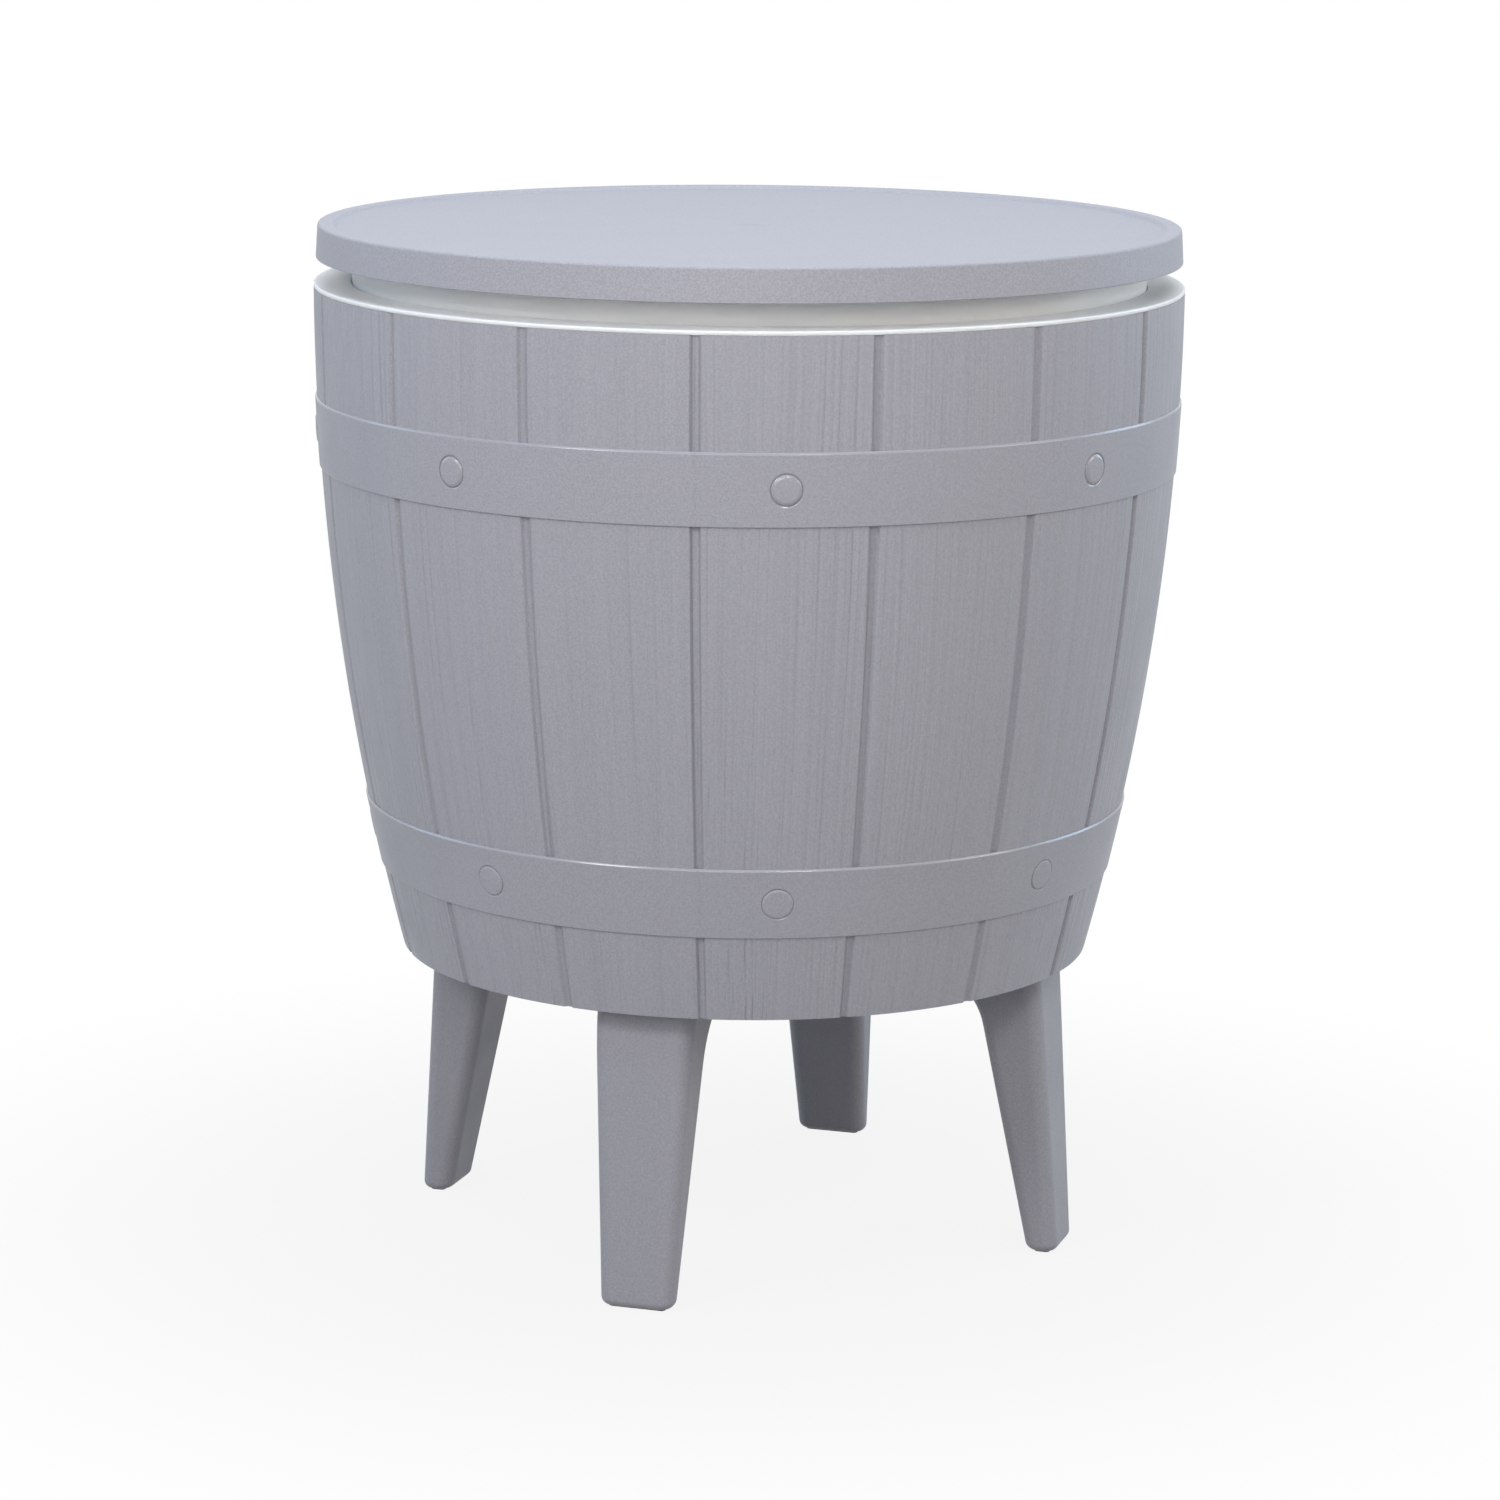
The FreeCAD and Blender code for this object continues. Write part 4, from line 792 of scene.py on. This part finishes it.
soften(bucket, 0.0005, [(TOP_RADIUS, BARREL_TOP), (MOUTH, LEDGE), (CUP_RADIUS, BUCKET_FLOOR)],
       segments=2)
spout = spun([(SPOUT_BORE, BARREL_FOOT), (SPOUT_RADIUS, BARREL_FOOT), (SPOUT_RADIUS, SPOUT_TOP),
              (SPOUT_BORE, SPOUT_TOP)], steps=64)
soften(spout, 0.0005, [(SPOUT_RADIUS, BARREL_FOOT), (SPOUT_BORE, BARREL_FOOT)], segments=2)
bmesh.ops.translate(spout, verts=spout.verts, vec=(0, DRAIN_OFFSET, 0))
bucket = cut(bucket, rod(SPOUT_BORE, 0.215, 0.24, (0, DRAIN_OFFSET)))
join(bucket, spout)
add_piece("ice_bucket_liner", bucket, white_plastic, "barrel", ["ice_bucket"])


# Drain plug
# A soft grey rubber stopper pushed up the spout from under the barrel, with a
# beaded grip to pull it by.
plug_rubber = rubber("plug_rubber", (0.16, 0.165, 0.175))
PLUG_STEM, PLUG_HEAD, PLUG_GRIP, PLUG_BEAD = 0.00942, 0.015, 0.005, 0.0065
plug = spun([(0, 0.1567), (PLUG_BEAD, 0.1567), (PLUG_BEAD, 0.1582), (PLUG_GRIP, 0.1597),
             (PLUG_GRIP, 0.1657), (PLUG_HEAD, 0.1657), (PLUG_HEAD, 0.1702), (PLUG_STEM, 0.1702),
             (PLUG_STEM, 0.1887), (0.00792, 0.1902), (0, 0.1902)], steps=72, closed=False)
soften(plug, 0.0006, segments=3)
bmesh.ops.translate(plug, verts=plug.verts, vec=(0, DRAIN_OFFSET, 0))
add_piece("drain_stopper", plug, plug_rubber, "drain_plug", ["drain_plug"])


# Post
# Two aluminium tubes, one inside the other. The outer one stands in the bucket's
# cup on a nylon plug and is drawn down by a screw from below; a nylon collar at
# its top guides the inner one.
tube_aluminium = metal("tube_aluminium", (0.5, 0.51, 0.52), 0.36, (1, 1, 0.03))
nylon, nylon_tree, nylon_shader, nylon_place = new_finish("post_nylon", 0.42, IOR=1.53)
tinted(nylon_tree, nylon_shader, (0.12, 0.125, 0.135),
       spread(nylon_tree, speckle(nylon_tree, nylon_place, 50, 3), 0.92, 1.06))
raised(nylon_tree, nylon_shader, (speckle(nylon_tree, nylon_place, 1800, 2), 0.00004))

POST_RADIUS, POST_BORE, POST_TOP = 0.02, 0.0185, 0.526
MAST_RADIUS, MAST_BORE, MAST_FOOT, MAST_TOP = 0.0165, 0.015, 0.231, 0.564
BUSH_BORE, SLEEVE_BORE, COLLAR_RADIUS, COLLAR_TOP = 0.01658, 0.02005, 0.02345, 0.53
PLUG_BORE = 0.00405


def ring(inner, outer, low, high):
    """The outline of a tube's or washer's wall."""
    return [(inner, low), (outer, low), (outer, high), (inner, high)]


outer_tube = soften(spun(ring(POST_BORE, POST_RADIUS, CUP_FLOOR, POST_TOP), 96), 0.0003)
add_piece("tube_outer", outer_tube, tube_aluminium, "barrel", ["post_outer_tube"])
base_plug = soften(spun(ring(PLUG_BORE, POST_BORE, CUP_FLOOR, 0.203), 64), 0.0004)
add_piece("tube_base_plug", base_plug, nylon, "barrel", ["post_base_plug"])
screw_pieces("screw_base", [(0, 0)], 0.1855, "barrel", ["post_base_screw"],
             0.004, 0.011, 0.007, 0.0045)
collar = spun([(BUSH_BORE, 0.483), (0.01845, 0.483), (0.01845, POST_TOP), (SLEEVE_BORE, POST_TOP),
               (SLEEVE_BORE, 0.508), (COLLAR_RADIUS, 0.508), (COLLAR_RADIUS, COLLAR_TOP),
               (BUSH_BORE, COLLAR_TOP)], 96)
soften(collar, 0.0012, [(COLLAR_RADIUS, COLLAR_TOP)], segments=4)
soften(collar, 0.0005, [(BUSH_BORE, COLLAR_TOP), (COLLAR_RADIUS, 0.508)], segments=2)
add_piece("tube_collar", collar, nylon, "barrel", ["post_collar"])

inner_tube = soften(spun(ring(MAST_BORE, MAST_RADIUS, MAST_FOOT, MAST_TOP), 96), 0.0003)
add_piece("tube_inner", inner_tube, tube_aluminium, "lid", ["post_inner_tube"])


# Twist lock
# A nylon core pressed into the inner tube's foot has a pin off its axis inside a
# split collar: a quarter turn of the lid wedges the collar in the outer tube.
core = spun([(0, 0.228), (MAST_RADIUS, 0.228), (MAST_RADIUS, MAST_FOOT), (MAST_BORE, MAST_FOOT),
             (MAST_BORE, 0.249), (0, 0.249)], 64, closed=False)
soften(core, 0.0004, segments=2)
add_piece("lock_core_body", core, nylon, "lid", ["lock_core"])
pin = soften(rod(0.007, 0.209, 0.2285, (0.0012, 0), 48), 0.0004, segments=2)
add_piece("lock_core_pin", pin, nylon, "lid", ["lock_core"])
split_collar = soften(rod(0.01842, 0.2093, 0.2277, segments=96), 0.0006, segments=2)
split_collar = cut(split_collar, rod(0.00815, 0.2, 0.24, (0.0006, 0.0006), 48))
split_collar = cut(split_collar, block((0.02, 0.002, 0.03), (-0.014, 0, 0.2185)))
add_piece("lock_split_collar", split_collar, nylon, "lock_slide", ["lock_collar"])
washer = soften(spun(ring(0.0023, 0.015, 0.207, 0.209), 48), 0.0003)
add_piece("lock_plate_washer", washer, screw_zinc, "lid", ["lock_washer"])
screw_pieces("screw_lock", [(0, 0)], 0.204, "lid", ["lock_screw"],
             0.002, 0.014, 0.007, 0.003)


# Table top
# The lid's grey upper moulding: a flat, even plate with a low raised rim to stop
# spills, a plain skirt and a shallow gate mark in the middle.
lid_grey = moulded_grey("grey_plastic_lid", uneven=0.15, sandy=0.1)
SKIRT, LID_TOP, PLATE_UNDER, PLATE_TOP = 0.5675, 0.5865, 0.5817, 0.5847
LID_RADIUS, SKIRT_RADIUS, RIM_INNER, RIM_FOOT = 0.245, 0.2462, 0.2368, 0.2342
top_outline = [(0, PLATE_UNDER), (0.242, PLATE_UNDER), (0.2432, SKIRT), (SKIRT_RADIUS, SKIRT),
               (LID_RADIUS, LID_TOP), (RIM_INNER, LID_TOP), (RIM_FOOT, PLATE_TOP)]
top_outline += [(RIM_FOOT * step / 12, PLATE_TOP) for step in range(11, 0, -1)]
top_outline += [(0.0095, PLATE_TOP), (0.0082, 0.5843), (0, 0.5843)]
table_top = spun(top_outline, steps=288, closed=False)
soften(table_top, 0.0013, [(LID_RADIUS, LID_TOP)], segments=4)
soften(table_top, 0.0006, [(SKIRT_RADIUS, SKIRT)], segments=3)
soften(table_top, 0.001, [(RIM_INNER, LID_TOP), (RIM_FOOT, PLATE_TOP)], segments=3)
add_piece("table_top_plate", table_top, lid_grey, "lid", ["tabletop"])


# Lid pan
# The lid's white lower moulding, screwed up under the table top: its wall drops
# into the bucket's mouth and its rim sits on the ledge.
PAN_HOLE, PAN_RIM, PAN_RADIUS, PAN_INSIDE = 0.02035, 0.2178, 0.2258, 0.2233
PAN_FOOT, PAN_PLATE = 0.5413, 0.544
pan = spun([(PAN_HOLE, PAN_PLATE), (PAN_RIM, PAN_PLATE), (PAN_RIM, PAN_FOOT),
            (PAN_RADIUS, PAN_FOOT), (PAN_RADIUS, PLATE_UNDER), (PAN_INSIDE, PLATE_UNDER),
            (PAN_INSIDE, 0.5465), (PAN_HOLE, 0.5465)], steps=288)
soften(pan, 0.0008, [(PAN_RADIUS, PAN_FOOT), (PAN_RIM, PAN_FOOT)], segments=3)
soften(pan, 0.0005, [(PAN_RIM, PAN_PLATE), (PAN_HOLE, PAN_PLATE)], segments=2)
add_piece("lid_pan", pan, white_plastic, "lid", ["lid_underside"])
screw_pieces("screws_lid", on_ring(0.206, 8), 0.5412, "lid", ["lid_screws"],
             0.002, 0.0145, 0.0042, 0.0028)


# Post head
# A round nylon plate screwed up through the pan, with a socket for the inner
# tube and a steel pin through both.
SOCKET_BORE, SOCKET_RADIUS, HEAD_RADIUS = 0.01655, 0.02005, 0.042
head = spun([(SOCKET_BORE, 0.54), (HEAD_RADIUS, 0.54), (HEAD_RADIUS, PAN_PLATE),
             (SOCKET_RADIUS, PAN_PLATE), (SOCKET_RADIUS, 0.567), (0, 0.567), (0, MAST_TOP),
             (SOCKET_BORE, MAST_TOP)], 96, closed=False)
soften(head, 0.0006, segments=3)
add_piece("head_flange", head, nylon, "lid", ["post_head_flange"])
head_pin = rod(0.002, -0.02, 0.02, segments=24)
bmesh.ops.rotate(head_pin, verts=head_pin.verts, cent=(0, 0, 0),
                 matrix=Matrix.Rotation(math.pi / 2, 3, "X"))
bmesh.ops.translate(head_pin, verts=head_pin.verts, vec=(0, 0, 0.555))
add_piece("head_cross_pin", head_pin, screw_zinc, "lid", ["post_head_pin"])
screw_pieces("screws_head", on_ring(0.032, 4), 0.5372, "lid", ["head_flange_screws"],
             0.002, 0.0185, 0.0042, 0.0028)
